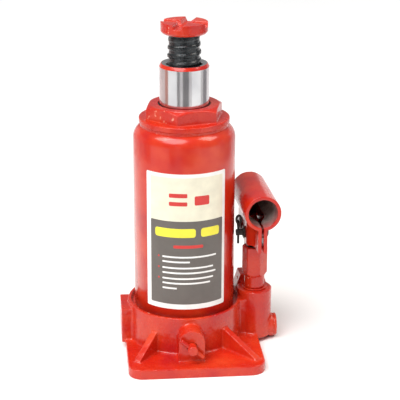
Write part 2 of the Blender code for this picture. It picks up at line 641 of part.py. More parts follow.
def socket_section(back, gap):
    """Section of the pressed socket: a round tube that opens into two flanges."""
    low = PIN_Z - 7.2 if back < -12.0 else PIN_Z - 9.0
    inner_r = SOCKET_R - SOCKET_WALL
    outer_lean = math.asin((gap + SOCKET_WALL) / SOCKET_R)
    inner_lean = math.asin(gap / inner_r)
    points = [(gap + SOCKET_WALL, low)]
    for step in range(SOCKET_STEPS + 1):
        angle = -math.pi / 2 + outer_lean + (math.tau - 2.0 * outer_lean) * step / SOCKET_STEPS
        points.append((SOCKET_R * math.cos(angle), SOCKET_Z + SOCKET_R * math.sin(angle)))
    points += [(-gap - SOCKET_WALL, low), (-gap, low)]
    for step in range(SOCKET_STEPS + 1):
        angle = -math.pi / 2 - inner_lean - (math.tau - 2.0 * inner_lean) * step / SOCKET_STEPS
        points.append((inner_r * math.cos(angle), SOCKET_Z + inner_r * math.sin(angle)))
    points.append((gap, low))
    return [Vector((side, back, height)) for side, height in points]


def handle_socket(paint, dark_steel, parent, offset):
    """Pressed from one sheet: a tube for the handle over a fork, with a plug at its back."""
    stations = ((SOCKET_FRONT, PINCH_GAP), (-22.0, PINCH_GAP), (-19.0, PINCH_GAP + 0.8), (-15.0, 3.6),
                (-11.0, FORK_GAP - 0.8), (-8.0, FORK_GAP), (SOCKET_REAR, FORK_GAP))
    bm = bmesh.new()
    sections = [[bm.verts.new(point) for point in socket_section(back, gap)] for back, gap in stations]
    for section, following in zip(sections, sections[1:]):
        join_rings(bm, section, following)
    bm.faces.new(sections[0])
    bm.faces.new(sections[-1])
    socket = to_object("handle_socket", bm)
    slot = rod("slot_end", PIN_HOLE_R, (-20.0, -0.9, PIN_Z), (20.0, -0.9, PIN_Z))
    fuse(slot, rod("slot_start", PIN_HOLE_R, (-20.0, 1.5, PIN_Z), (20.0, 1.5, PIN_Z)),
         block("slot_middle", (-20.0, -0.9, PIN_Z - PIN_HOLE_R * 0.98), (20.0, 1.5, PIN_Z + PIN_HOLE_R * 0.98)))
    cut(socket, slot, rod("top_pin_hole", PIN_HOLE_R, (-20.0, LEVER, PIN_Z), (20.0, LEVER, PIN_Z)))
    finish(socket, paint, parent, offset)
    finish(end_plug(12.1, FORK_GAP - 0.4), dark_steel, parent, offset)


def end_plug(radius, half_tongue):
    """A disc in the tube's far end whose tongue closes the fork below it."""
    lean = math.asin(half_tongue / radius)
    outline = [(-half_tongue, 104.6), (half_tongue, 104.6)]
    for step in range(21):
        angle = -math.pi / 2 + lean + (math.tau - 2.0 * lean) * step / 20
        outline.append((radius * math.cos(angle), SOCKET_Z + radius * math.sin(angle)))
    return prism("socket_end_plug", outline, 29.8, 33.2, TO_BACK)


def link_pieces(steel, dark_steel, parent, offset):
    """Waisted link between base lug and socket, with the socket's pin in it."""
    lean = math.degrees(math.asin(LINK_WAIST / LINK_EYE_R))
    outline = []
    for centre, first in ((LINK_BASE_Z, 90.0 + lean), (PIN_Z, -90.0 + lean)):
        for step in range(11):
            angle = math.radians(first + (360.0 - 2.0 * lean) * step / 10)
            outline.append((LEVER + LINK_EYE_R * math.cos(angle), centre + LINK_EYE_R * math.sin(angle)))
    link = prism("link", outline, -5.6, 5.6, SIDEWAYS)
    for height in (LINK_BASE_Z, PIN_Z):
        cut(link, rod("eye", PIN_HOLE_R, (-10.0, LEVER, height), (10.0, LEVER, height)))
    finish(link, steel, parent, offset)
    for piece in clipped_pin("link_top_pin", PIN_Z, 12.6):
        finish(piece, dark_steel, parent, offset)


def link_base_pin(paint, parent):
    """Plain pin, peened flush with the sides of the base's lug."""
    pin = turned("link_base_pin", ((0.0, -12.7), (3.4, -12.7), (PIN_R, -12.1), (PIN_R, 12.1), (3.4, 12.7), (0.0, 12.7)),
                 SMALL, lying(0.0, LEVER, LINK_BASE_Z))
    finish(pin, paint, parent)


def clipped_pin(name, height, reach):
    """A headed pin through a fork, kept by a clip in a groove at its far end."""
    outline = ((0.0, -reach), (3.4, -reach), (PIN_R, -reach + 0.6), (PIN_R, -reach + 1.0), (3.1, -reach + 1.0),
               (3.1, -reach + 2.3), (PIN_R, -reach + 2.3), (PIN_R, reach - 2.2), (5.6, reach - 2.2),
               (5.6, reach - 0.8), (5.0, reach - 0.2), (0.0, reach - 0.2))
    pin = turned(name, outline, SMALL, lying(0.0, LEVER, height))
    clip = turned(name + "_clip", ring_outline(3.4, 6.4, -reach + 1.25, -reach + 2.05), SMALL,
                  lying(0.0, LEVER, height))
    cut(clip, block("clip_gap", (-reach, LEVER - 1.6, height - 10.0), (reach, LEVER + 1.6, height)))
    return pin, clip


# ---------------------------------------------------------------- valves
def check_valves(steel, dark_steel, spring_steel, paint):
    """Inlet and outlet balls, the outlet spring and its plug; the oil filter."""
    finish(ball("inlet_ball", 2.7, (PUMP_X, 0.0, 26.2)), steel)
    finish(ball("outlet_ball", 3.2, (61.9, 0.0, GALLERY_Z)), steel)
    finish(coil("outlet_spring", (65.8, 0.0, GALLERY_Z), (70.8, 0.0, GALLERY_Z), 2.8, 0.45, 3), spring_steel)
    plug = turned("valve_plug", ((0.0, 71.6), (6.2, 71.6), (6.2, 80.5), (10.2, 80.5), (10.2, 82.5), (9.6, 83.1),
                                 (0.0, 83.1)), 24, lying(0.0, 0.0, GALLERY_Z))
    key = turned("key", ((0.0, 79.0), (2.9, 79.0), (2.9, 86.0), (0.0, 86.0)), 6, lying(0.0, 0.0, GALLERY_Z))
    cut(plug, key)
    finish(plug, paint)
    strainer = turned("oil_filter", ((0.0, 38.2), (3.6, 38.2), (4.2, 37.3), (4.8, 37.3), (4.2, 39.4), (0.0, 39.8)),
                      12, Matrix.Translation((31.5, 16.2, 0.0)))
    finish(strainer, dark_steel)


def overload_valve(steel, paint, spring_steel):
    """Ball, spring and set screw in the left lug."""
    finish(ball("overload_ball", 2.6, (-40.4, 0.0, VALVE_Z)), steel)
    finish(coil("overload_spring", (-43.9, 0.0, VALVE_Z), (-49.3, 0.0, VALVE_Z), 2.4, 0.45, 3), spring_steel)
    screw = turned("overload_screw", ((0.0, -56.8), (4.6, -56.8), (5.0, -56.4), (5.0, -50.2), (4.4, -49.9),
                                      (0.0, -49.9)), SMALL, lying(0.0, 0.0, VALVE_Z))
    cut(screw, block("driver_slot", (-60.0, -0.8, VALVE_Z - 8.0), (-55.0, 0.8, VALVE_Z + 8.0)))
    finish(screw, paint)


def release_valve(paint, rubber, steel, parent, ball_parent, offset):
    """Screw with a cross pin to turn it, its seal, and the ball it presses."""
    stem = along((ARCH_X, -43.5, VALVE_Z), (ARCH_X, -80.0, VALVE_Z))
    screw = turned("release_valve_screw", ((0.0, 0.0), (3.6, 0.0), (5.0, 1.4), (5.0, 12.0), (3.7, 12.0),
                                           (3.7, 15.4), (5.0, 15.4), (5.0, 19.4), (4.4, 20.0), (4.4, 30.2),
                                           (3.8, 30.8), (0.0, 30.8)), 20, stem)
    slope = math.radians(40.0)
    reach = 12.6
    middle = Vector((ARCH_X, -69.4, VALVE_Z))
    side = Vector((math.cos(slope), 0.0, -math.sin(slope)))
    cut(screw, rod("pin_hole", 2.2, middle - side * 8.0, middle + side * 8.0, 12))
    finish(screw, paint, parent, offset)
    finish(rod("release_cross_pin", 1.85, middle - side * reach, middle + side * reach, 12), paint, parent, offset)
    ring = turned("release_o_ring", ring_outline(4.0, 5.1, 12.3, 15.1), SMALL, stem)
    finish(ring, rubber, parent, offset)
    finish(ball("release_ball", 2.7, (ARCH_X, -39.9, VALVE_Z)), steel, ball_parent, offset)


# ---------------------------------------------------------------- assembly
def build():
    clear_scene()
    enamel = material("red_enamel", (0.62, 0.02, 0.02), 0.3)
    bright = material("ground_steel", (0.66, 0.67, 0.68), 0.22, 1.0)
    plain = material("plain_steel", (0.42, 0.42, 0.42), 0.4, 1.0)
    dark = material("dark_steel", (0.05, 0.05, 0.05), 0.45, 0.8)
    springs = material("spring_steel", (0.3, 0.3, 0.31), 0.35, 1.0)
    copper = material("copper", (0.6, 0.25, 0.12), 0.35, 1.0)
    bronze = material("bronze", (0.5, 0.32, 0.12), 0.4, 1.0)
    rubber = material("black_rubber", (0.02, 0.02, 0.02), 0.7)
    vinyl = material("label_vinyl", (0.8, 0.74, 0.6), 0.45)

    base_casting(enamel)
    reservoir_tank(enamel)
    tank_fittings(rubber, copper, vinyl)
    pressure_cylinder(plain)
    top_nut(enamel)
    nut_seals(rubber)

    lift = axis_empty("ram_axis", (0.0, 0.0, 0.0))
    screw_axis = axis_empty("screw_axis", (0.0, 0.0, 0.0), lift)
    ram_pieces(bright, rubber, bronze, lift)
    stop_ring(springs, screw_axis)
    extension_screw(dark, screw_axis)
    saddle(enamel, screw_axis)

    pump_axis = axis_empty("pump_axis", (PUMP_X, 0.0, 0.0), None, PUMP_TURN)
    link_axis = axis_empty("link_axis", (0.0, LEVER, LINK_BASE_Z), pump_axis)
    socket_axis = axis_empty("socket_axis", (0.0, LEVER, PIN_Z), pump_axis)
    pump_cylinder(enamel, rubber, pump_axis)
    plunger_pieces(bright, rubber, dark, pump_axis)
    handle_socket(enamel, dark, socket_axis, (0.0, -LEVER, -PIN_Z))
    link_pieces(enamel, dark, link_axis, (0.0, -LEVER, -LINK_BASE_Z))
    link_base_pin(enamel, pump_axis)

    check_valves(plain, dark, springs, enamel)
    overload_valve(plain, enamel, springs)
    valve_axis = axis_empty("valve_axis", (ARCH_X, 0.0, VALVE_Z))
    release_valve(enamel, rubber, plain, valve_axis, valve_axis, (-ARCH_X, 0.0, -VALVE_Z))


build()
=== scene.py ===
"""Looks of a hydraulic bottle jack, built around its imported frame.

Lengths are in millimetres and are scaled to metres when a mesh is made. The frame has
the ram's axis as Z and the base's underside at zero; the pump stands at +X. Castings
and pressings are rough solids that are remeshed and smoothed, so that their corners
run into fillets; turned pieces are lathed from outlines with rounded corners.
"""

import json
import math

import bmesh
import bpy
from mathutils import Matrix, Vector, noise


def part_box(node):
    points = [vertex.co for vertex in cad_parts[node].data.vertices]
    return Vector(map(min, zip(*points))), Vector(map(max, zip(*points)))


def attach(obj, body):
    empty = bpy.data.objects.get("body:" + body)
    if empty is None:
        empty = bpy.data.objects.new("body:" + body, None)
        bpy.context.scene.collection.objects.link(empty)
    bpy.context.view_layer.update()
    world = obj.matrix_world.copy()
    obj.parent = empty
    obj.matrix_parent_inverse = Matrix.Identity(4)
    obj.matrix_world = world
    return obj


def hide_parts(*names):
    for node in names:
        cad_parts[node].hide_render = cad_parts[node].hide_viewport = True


MM = 0.001
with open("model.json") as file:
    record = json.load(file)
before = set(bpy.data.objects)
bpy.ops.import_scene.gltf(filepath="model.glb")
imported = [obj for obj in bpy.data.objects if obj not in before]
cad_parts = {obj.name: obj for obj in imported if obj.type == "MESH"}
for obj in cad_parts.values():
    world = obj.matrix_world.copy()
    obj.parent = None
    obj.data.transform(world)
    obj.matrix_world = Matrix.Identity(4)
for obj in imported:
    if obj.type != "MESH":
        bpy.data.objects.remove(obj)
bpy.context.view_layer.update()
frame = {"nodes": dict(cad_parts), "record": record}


def node_box(name):
    """Lowest and highest corner of a CAD node, in millimetres."""
    low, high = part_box(name)
    return low / MM, high / MM


# ---------------------------------------------------------------- sizes from the frame
BASE_LOW, BASE_HIGH = node_box("base_casting")
TANK_LOW, TANK_HIGH = node_box("reservoir_tank")
NUT_HIGH = node_box("top_nut")[1]
RAM_LOW, RAM_HIGH = node_box("ram")
SCREW_LOW = node_box("extension_screw")[0]
SADDLE_LOW, SADDLE_HIGH = node_box("saddle")
BARREL_LOW, BARREL_HIGH = node_box("pump_cylinder")
PLUG_LOW, PLUG_HIGH = node_box("valve_plug")
PIN_LOW, PIN_HIGH = node_box("plunger_pin")

TANK_R = TANK_HIGH.x
TANK_WALL = 2.5
SHOULDER_R = 12.0
FLANGE_R = NUT_HIGH.x
NUT_FLATS = 60.4
NUT_TURN = math.radians(16.0)
FILLER_Z = 168.0
RAM_R = RAM_HIGH.x
RAM_BORE_R = 15.2
SCREW_R = 14.5
SCREW_ROOT = 13.2
SCREW_PITCH = 7.0
THREAD_START = 178.0
SADDLE_R = SADDLE_HIGH.x
SADDLE_TURN = -22.0
PUMP_X = (BARREL_LOW.x + BARREL_HIGH.x) / 2.0
PUMP_TURN = 3.0
BARREL_FLATS = 19.6
BARREL_SHOULDER = 60.7
LEVER = 20.0
PIN_Z = (PIN_LOW.z + PIN_HIGH.z) / 2.0
PIN_R = 4.0
EYE_BORE_R = 4.4
LINK_BASE_Z = 47.0
GALLERY_Z = (PLUG_LOW.z + PLUG_HIGH.z) / 2.0
VALVE_Z = 22.0
ARCH_X = 1.4
ARCH_FRONT = -65.0
FOOT_THICK = 8.5
DRUM_R = 49.8
COLLAR_TOP = 41.0
GROOVE_R = 47.2
CYLINDER_SEAT_R = 28.9
BOSS_R = 15.5
BOSS_TOP = 48.5
PLUG_R = 10.2
FORK_GAP = 6.3
SOCKET_R = 15.85
SOCKET_WALL = 3.2
SOCKET_Z = 130.5
SOCKET_FRONT, SOCKET_REAR = -36.0, 34.0

# The pump's own upright frame, and the same turned as the socket and link stand
AT_PUMP = Matrix.Translation((PUMP_X, 0.0, 0.0))
PUMP_FRAME = AT_PUMP @ Matrix.Rotation(math.radians(PUMP_TURN), 4, "Z")

# Frames that stand an outline upright and extrude it to -Y, +Y or +X
TO_FRONT = Matrix(((1.0, 0.0, 0.0), (0.0, 0.0, -1.0), (0.0, 1.0, 0.0))).to_4x4()
TO_BACK = Matrix(((1.0, 0.0, 0.0), (0.0, 0.0, 1.0), (0.0, 1.0, 0.0))).to_4x4()
SIDEWAYS = Matrix(((0.0, 0.0, 1.0), (1.0, 0.0, 0.0), (0.0, 1.0, 0.0))).to_4x4()
# Lays a lathe's axis along +X
LAID_ACROSS = Matrix.Rotation(math.radians(90.0), 4, "Y")


# ---------------------------------------------------------------- mesh helpers
def polar(radius, angle):
    """Across and up from a centre, at an angle in radians."""
    return radius * math.cos(angle), radius * math.sin(angle)


def arc(centre, radius, first, last, steps):
    """Points round a centre from one angle to another, both ends included."""
    points = []
    for step in range(steps + 1):
        x, y = polar(radius, first + (last - first) * step / steps)
        points.append((centre[0] + x, centre[1] + y))
    return points


def to_object(name, bm):
    """Turn a bmesh in millimetres into an object in metres, faces outwards."""
    bmesh.ops.recalc_face_normals(bm, faces=bm.faces)
    bmesh.ops.scale(bm, vec=(MM, MM, MM), verts=bm.verts)
    mesh = bpy.data.meshes.new(name)
    bm.to_mesh(mesh)
    bm.free()
    made = bpy.data.objects.new(name, mesh)
    bpy.context.scene.collection.objects.link(made)
    return made


def bridge(bm, ring, following):
    """Skin two neighbouring rings; a ring of one vertex is a tip on the axis."""
    count = max(len(ring), len(following))
    if count == 1:
        return
    for step in range(count):
        after = (step + 1) % count
        if len(ring) == 1:
            bm.faces.new((ring[0], following[step], following[after]))
        elif len(following) == 1:
            bm.faces.new((ring[step], ring[after], following[0]))
        else:
            bm.faces.new((ring[step], ring[after], following[after], following[step]))


def lathe(name, outline, segments=96, place=Matrix.Identity(4), phase=0.0):
    """Turn a closed outline of (radius, height) points round the Z axis of a frame."""
    bm = bmesh.new()
    rings = []
    for radius, height in outline:
        if radius < 1e-6:
            rings.append([bm.verts.new(place @ Vector((0.0, 0.0, height)))])
            continue
        angles = [phase + math.tau * step / segments for step in range(segments)]
        rings.append([bm.verts.new(place @ Vector((*polar(radius, angle), height))) for angle in angles])
    for ring, following in zip(rings, rings[1:] + rings[:1]):
        bridge(bm, ring, following)
    return to_object(name, bm)


def rounded(points, radius, steps=4, open_ends=True):
    """Replace an outline's corners by arcs; points on the axis stay sharp."""
    outline = []
    count = len(points)
    for index, point in enumerate(points):
        here = Vector(point)
        before = Vector(points[index - 1])
        after = Vector(points[(index + 1) % count])
        reach = min(radius, 0.45 * (before - here).length, 0.45 * (after - here).length)
        if (open_ends and here.x < 1e-6) or reach < 0.02:
            outline.append(tuple(here))
            continue
        start = here + (before - here).normalized() * reach
        end = here + (after - here).normalized() * reach
        for step in range(steps + 1):
            share = step / steps
            rest = 1 - share
            outline.append(tuple(start * rest ** 2 + here * 2 * share * rest + end * share ** 2))
    return outline


def extrude(name, outline, low, high, place=Matrix.Identity(4)):
    """Extrude a flat outline along the Z axis of a frame."""
    bm = bmesh.new()
    floor = [bm.verts.new(place @ Vector((x, y, low))) for x, y in outline]
    roof = [bm.verts.new(place @ Vector((x, y, high))) for x, y in outline]
    bm.faces.new(floor)
    bm.faces.new(roof)
    bridge(bm, floor, roof)
    return to_object(name, bm)


def block(name, low, high, place=Matrix.Identity(4)):
    """A box between two opposite corners of a frame."""
    outline = ((low[0], low[1]), (high[0], low[1]), (high[0], high[1]), (low[0], high[1]))
    return extrude(name, outline, low[2], high[2], place)


def along(start, end):
    """A frame at start whose Z axis points to end."""
    axis = (Vector(end) - Vector(start)).normalized()
    return Matrix.Translation(start) @ axis.to_track_quat("Z", "Y").to_matrix().to_4x4()


def rod(name, radius, start, end, segments=40, edge=0.0):
    """A round bar between two points, its ends rounded when an edge is given."""
    length = (Vector(end) - Vector(start)).length
    outline = [(0.0, 0.0), (radius, 0.0), (radius, length), (0.0, length)]
    if edge:
        outline = rounded(outline, edge)
    return lathe(name, outline, segments, along(start, end))


def wire(name, points, radius, sides=14):
    """A round wire through points, with flat ends."""
    bm = bmesh.new()
    rings = []
    for index, point in enumerate(points):
        before = Vector(points[max(index - 1, 0)])
        after = Vector(points[min(index + 1, len(points) - 1)])
        turn = (after - before).normalized().to_track_quat("Z", "Y").to_matrix()
        section = [Vector((*polar(radius, math.tau * side / sides), 0.0)) for side in range(sides)]
        rings.append([bm.verts.new(Vector(point) + turn @ corner) for corner in section])
    for ring, following in zip(rings, rings[1:]):
        nearest = min(range(sides), key=lambda shift: (ring[0].co - following[shift].co).length)
        following[:] = following[nearest:] + following[:nearest]
        bridge(bm, ring, following)
    bm.faces.new(rings[0])
    bm.faces.new(rings[-1])
    return to_object(name, bm)


def apply_modifiers(piece):
    """Replace a piece's mesh by its evaluated one."""
    bpy.context.view_layer.update()
    depsgraph = bpy.context.evaluated_depsgraph_get()
    result = bpy.data.meshes.new_from_object(piece.evaluated_get(depsgraph))
    piece.modifiers.clear()
    piece.data = result
    return piece


def join(name, parts):
    """Put several solids in one mesh, overlapping as they are."""
    bm = bmesh.new()
    for part in parts:
        bm.from_mesh(part.data)
        bpy.data.objects.remove(part)
    mesh = bpy.data.meshes.new(name)
    bm.to_mesh(mesh)
    bm.free()
    made = bpy.data.objects.new(name, mesh)
    bpy.context.scene.collection.objects.link(made)
    return made


def cast(name, parts, voxel, passes):
    """Melt overlapping solids into one skin whose corners are filleted."""
    piece = join(name, parts)
    remesh = piece.modifiers.new("Skin", "REMESH")
    remesh.mode = "VOXEL"
    remesh.voxel_size = voxel * MM
    remesh.use_smooth_shade = True
    smooth = piece.modifiers.new("Fillets", "SMOOTH")
    smooth.factor = 0.5
    smooth.iterations = passes
    return apply_modifiers(piece)


def boolean(target, tool, operation="DIFFERENCE"):
    """Cut a piece by a tool, or keep what they share; the tool is used up."""
    modifier = target.modifiers.new("Combine", "BOOLEAN")
    modifier.operation = operation
    modifier.solver = "EXACT"
    modifier.object = tool
    apply_modifiers(target)
    bpy.data.objects.remove(tool)
    return target


def roughen(piece, depth, size, seed):
    """Sink the skin by up to a depth, in lumps of a size, as a sand mould leaves it."""
    mesh = piece.data
    shift = Vector((seed, 2.0 * seed, 3.0 * seed))
    normals = [vertex.normal.copy() for vertex in mesh.vertices]
    for vertex, normal in zip(mesh.vertices, normals):
        at = vertex.co / (size * MM) + shift
        lumps = 0.5 + 0.35 * noise.noise(at) + 0.25 * noise.noise(at * 2.3)
        vertex.co -= normal * (depth * MM * max(0.0, min(1.0, lumps)))
    return piece


def shade(piece, angle):
    """Smooth shading, with edges sharper than an angle in degrees left crisp."""
    piece.data.shade_smooth()
    piece.data.set_sharp_from_angle(angle=math.radians(angle))


def dress(piece, finish, body, nodes, angle=40.0):
    """Give a piece its finish and its body, and hide the CAD nodes it stands for."""
    shade(piece, angle)
    finishes = finish if isinstance(finish, list) else [finish]
    if piece.data.materials:
        piece.data.materials.clear()
    for one in finishes:
        piece.data.materials.append(one)
    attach(piece, body)
    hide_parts(*nodes)


# ---------------------------------------------------------------- materials
class Finish:
    """A Principled material built node by node, in the object's own coordinates."""

    def __init__(self, name):
        self.material = bpy.data.materials.new(name)
        self.material.use_nodes = True
        self.tree = self.material.node_tree
        self.shader = self.tree.nodes["Principled BSDF"]
        self.place = self.tree.nodes.new("ShaderNodeTexCoord").outputs["Object"]

    def node(self, kind, **settings):
        made = self.tree.nodes.new(kind)
        for key, value in settings.items():
            setattr(made, key, value)
        return made

    def link(self, output, target):
        self.tree.links.new(output, target)

    def constant(self, **values):
        for key, value in values.items():
            self.shader.inputs[key.replace("_", " ")].default_value = value

    def noise(self, size, detail, stretch=(1.0, 1.0, 1.0)):
        """Noise with lumps of a size in millimetres, from 0 to 1."""
        mapping = self.node("ShaderNodeMapping")
        mapping.inputs["Scale"].default_value = stretch
        self.link(self.place, mapping.inputs["Vector"])
        made = self.node("ShaderNodeTexNoise")
        made.inputs["Scale"].default_value = 1.0 / (size * MM)
        made.inputs["Detail"].default_value = detail
        self.link(mapping.outputs["Vector"], made.inputs["Vector"])
        return made.outputs["Fac"]

    def ramp(self, value, stops):
        """Colour ramp of (position, colour) stops."""
        made = self.node("ShaderNodeValToRGB")
        elements = made.color_ramp.elements
        while len(elements) < len(stops):
            elements.new(0.5)
        for element, (position, colour) in zip(elements, stops):
            element.position = position
            element.color = (*colour, 1.0)
        self.link(value, made.inputs["Fac"])
        return made.outputs["Color"]

    def scale(self, value, low, high):
        """Map 0..1 to low..high."""
        made = self.node("ShaderNodeMapRange")
        made.inputs["To Min"].default_value = low
        made.inputs["To Max"].default_value = high
        self.link(value, made.inputs["Value"])
        return made.outputs["Result"]

    def mix(self, share, first, second):
        """Mix two colours by a share, 0 to 1."""
        made = self.node("ShaderNodeMix", data_type="RGBA")
        self.link(share, made.inputs["Factor"])
        for source, target in ((first, made.inputs["A"]), (second, made.inputs["B"])):
            if isinstance(source, tuple):
                target.default_value = (*source, 1.0)
            else:
                self.link(source, target)
        return made.outputs["Result"]

    def bump(self, heights):
        """Chain bumps of (height, distance in millimetres, strength)."""
        normal = None
        for height, distance, strength in heights:
            made = self.node("ShaderNodeBump")
            made.inputs["Distance"].default_value = distance * MM
            made.inputs["Strength"].default_value = strength
            self.link(height, made.inputs["Height"])
            if normal is not None:
                self.link(normal, made.inputs["Normal"])
            normal = made.outputs["Normal"]
        self.link(normal, self.shader.inputs["Normal"])

    def colour(self, output):
        self.link(output, self.shader.inputs["Base Color"])

    def roughness(self, output):
        self.link(output, self.shader.inputs["Roughness"])


RED = (0.54, 0.020, 0.006)
RED_DEEP = (0.45, 0.008, 0.008)
RED_THIN = (0.61, 0.046, 0.013)
# Painted highlight colours laid on the enamel's sharp edges, standing in for gloss lines
EDGE_HIGHLIGHT_SOFT = (0.78, 0.24, 0.14)
EDGE_HIGHLIGHT_PALE = (0.86, 0.38, 0.27)


def enamel(name, lump_size, lump_depth, rough, edge_highlight):
    """Glossy red enamel: orange peel, thicker and thinner coats, and a painted highlight on sharp edges."""
    made = Finish(name)
    coats = made.ramp(made.noise(26.0, 3.0), ((0.3, RED_DEEP), (0.5, RED), (0.72, RED_THIN)))
    # Pointiness picks out sharp edges, which get the painted highlight colour
    pointed = made.node("ShaderNodeNewGeometry").outputs["Pointiness"]
    edge = made.ramp(pointed, ((0.55, (0.0, 0.0, 0.0)), (0.62, (0.8, 0.8, 0.8))))
    made.colour(made.mix(edge, coats, edge_highlight))
    made.roughness(made.scale(made.noise(7.0, 4.0), rough - 0.05, rough + 0.10))
    made.bump(((made.noise(lump_size, 2.0), lump_depth, 0.6), (made.noise(1.6, 2.0), 0.05, 0.35)))
    made.constant(Coat_Weight=0.3, Coat_Roughness=0.06, IOR=1.42)
    return made.material


def polished_steel():
    """Ground and hard-chromed steel with very fine marks round the ram."""
    made = Finish("ground_chrome")
    marks = made.noise(1.2, 3.0, (0.12, 0.12, 5.0))
    cloud = made.noise(18.0, 2.0)
    made.colour(made.ramp(cloud, ((0.3, (0.60, 0.60, 0.62)), (0.7, (0.74, 0.74, 0.75)))))
    made.roughness(made.scale(marks, 0.08, 0.20))
    made.bump(((marks, 0.012, 0.4),))
    made.constant(Metallic=1.0)
    return made.material


def bare_steel(name, dark, light, rough, metallic=1.0):
    """Machined or drawn steel, with oil stains."""
    made = Finish(name)
    made.colour(made.ramp(made.noise(6.0, 4.0), ((0.3, dark), (0.7, light))))
    made.roughness(made.scale(made.noise(2.2, 4.0), rough - 0.1, rough + 0.12))
    made.bump(((made.noise(0.8, 2.0, (1.0, 1.0, 3.0)), 0.03, 0.3),))
    made.constant(Metallic=metallic)
    return made.material


def greased_black():
    """Blackened steel under a patchy film of grease."""
    made = Finish("greased_black")
    film = made.noise(3.2, 4.0)
    made.colour(made.ramp(film, ((0.3, (0.008, 0.010, 0.012)), (0.6, (0.030, 0.036, 0.040)),
                                 (0.8, (0.075, 0.085, 0.090)))))
    made.roughness(made.scale(made.noise(2.0, 3.0), 0.18, 0.42))
    made.bump(((made.noise(1.4, 3.0), 0.10, 0.5), (made.noise(5.0, 2.0), 0.15, 0.4)))
    made.constant(Metallic=0.55, Coat_Weight=0.3, Coat_Roughness=0.12)
    return made.material


def rubber():
    """Black moulded rubber, dull and slightly mottled."""
    made = Finish("black_rubber")
    made.colour(made.ramp(made.noise(3.0, 3.0), ((0.3, (0.012, 0.012, 0.013)), (0.7, (0.03, 0.03, 0.031)))))
    made.roughness(made.scale(made.noise(1.5, 3.0), 0.5, 0.68))
    made.bump(((made.noise(0.7, 2.0), 0.03, 0.4),))
    return made.material


def print_ink(name, colour):
    """Printed vinyl: an even ink with a faint mottle and the sheet's own texture."""
    made = Finish(name)
    pale = tuple(min(1.0, 1.05 * part) for part in colour)
    deep = tuple(0.93 * part for part in colour)
    made.colour(made.ramp(made.noise(9.0, 3.0), ((0.3, deep), (0.7, pale))))
    made.roughness(made.scale(made.noise(4.0, 3.0), 0.28, 0.42))
    made.bump(((made.noise(0.9, 2.0), 0.01, 0.3),))
    return made.material


def socket_inside():
    """Bare tube wall, with ragged red overspray near its front mouth."""
    made = Finish("socket_inside")
    bare = made.ramp(made.noise(5.0, 4.0), ((0.3, (0.34, 0.27, 0.25)), (0.7, (0.62, 0.54, 0.50))))
    split = made.node("ShaderNodeSeparateXYZ")
    made.link(made.place, split.inputs["Vector"])
    depth = made.node("ShaderNodeMapRange")
    depth.inputs["From Min"].default_value = (SOCKET_FRONT + 15.0) * MM
    depth.inputs["From Max"].default_value = (SOCKET_FRONT + 1.0) * MM
    made.link(split.outputs["Y"], depth.inputs["Value"])
    ragged = made.node("ShaderNodeMath", operation="MULTIPLY")
    made.link(depth.outputs["Result"], ragged.inputs[0])
    made.link(made.scale(made.noise(6.0, 4.0), 0.2, 1.5), ragged.inputs[1])
    made.colour(made.mix(ragged.outputs["Value"], bare, RED_DEEP))
    made.roughness(made.scale(made.noise(3.0, 3.0), 0.35, 0.6))
    made.bump(((made.noise(2.0, 3.0), 0.06, 0.5),))
    made.constant(Metallic=0.2)
    return made.material


# The cast pieces take the paler painted edge highlight, the drawn ones the softer one
CAST_RED = enamel("red_enamel_cast", 5.0, 0.45, 0.24, EDGE_HIGHLIGHT_PALE)
SMOOTH_RED = enamel("red_enamel_drawn", 30.0, 0.10, 0.20, EDGE_HIGHLIGHT_SOFT)
CHROME = polished_steel()
STEEL = bare_steel("turned_steel", (0.30, 0.30, 0.31), (0.48, 0.48, 0.49), 0.36)
DARK = bare_steel("dark_steel", (0.02, 0.02, 0.02), (0.07, 0.065, 0.06), 0.42, 0.8)
SPRING = bare_steel("spring_steel", (0.22, 0.22, 0.23), (0.36, 0.36, 0.37), 0.32)
COPPER = bare_steel("copper_ring", (0.42, 0.16, 0.08), (0.66, 0.30, 0.17), 0.36)
BRONZE = bare_steel("bronze_ring", (0.34, 0.21, 0.08), (0.56, 0.38, 0.17), 0.40)
GREASED = greased_black()
RUBBER = rubber()
BARE_WALL = socket_inside()


# ---------------------------------------------------------------- base casting
def rounded_rectangle(left, right, front, back, corner, steps=10):
    """Outline of a rectangle with round corners, anticlockwise."""
    centres = ((right - corner, back - corner), (left + corner, back - corner),
               (left + corner, front + corner), (right - corner, front + corner))
    outline = []
    for quarter, centre in enumerate(centres):
        outline += arc(centre, corner, quarter * math.pi / 2.0, (quarter + 1) * math.pi / 2.0, steps)
    return outline


def rib(foot_x, foot_y):
    """A buttress from the drum down to a foot corner, flat on top."""
    reach = math.hypot(foot_x, foot_y)
    side_view = ((40.0, 2.0), (reach, 2.0), (reach, FOOT_THICK + 1.6), (48.0, 28.2), (40.0, 28.2))
    turn = Matrix.Rotation(math.atan2(foot_y, foot_x), 4, "Z")
    return extrude("rib", side_view, -3.2, 3.2, turn @ TO_FRONT)


def arch_outline(half, spring, low):
    """A round-topped arch on the release valve's line."""
    feet = [(ARCH_X - half, low), (ARCH_X + half, low)]
    return feet + arc((ARCH_X, spring), half, 0.0, math.pi, 24)


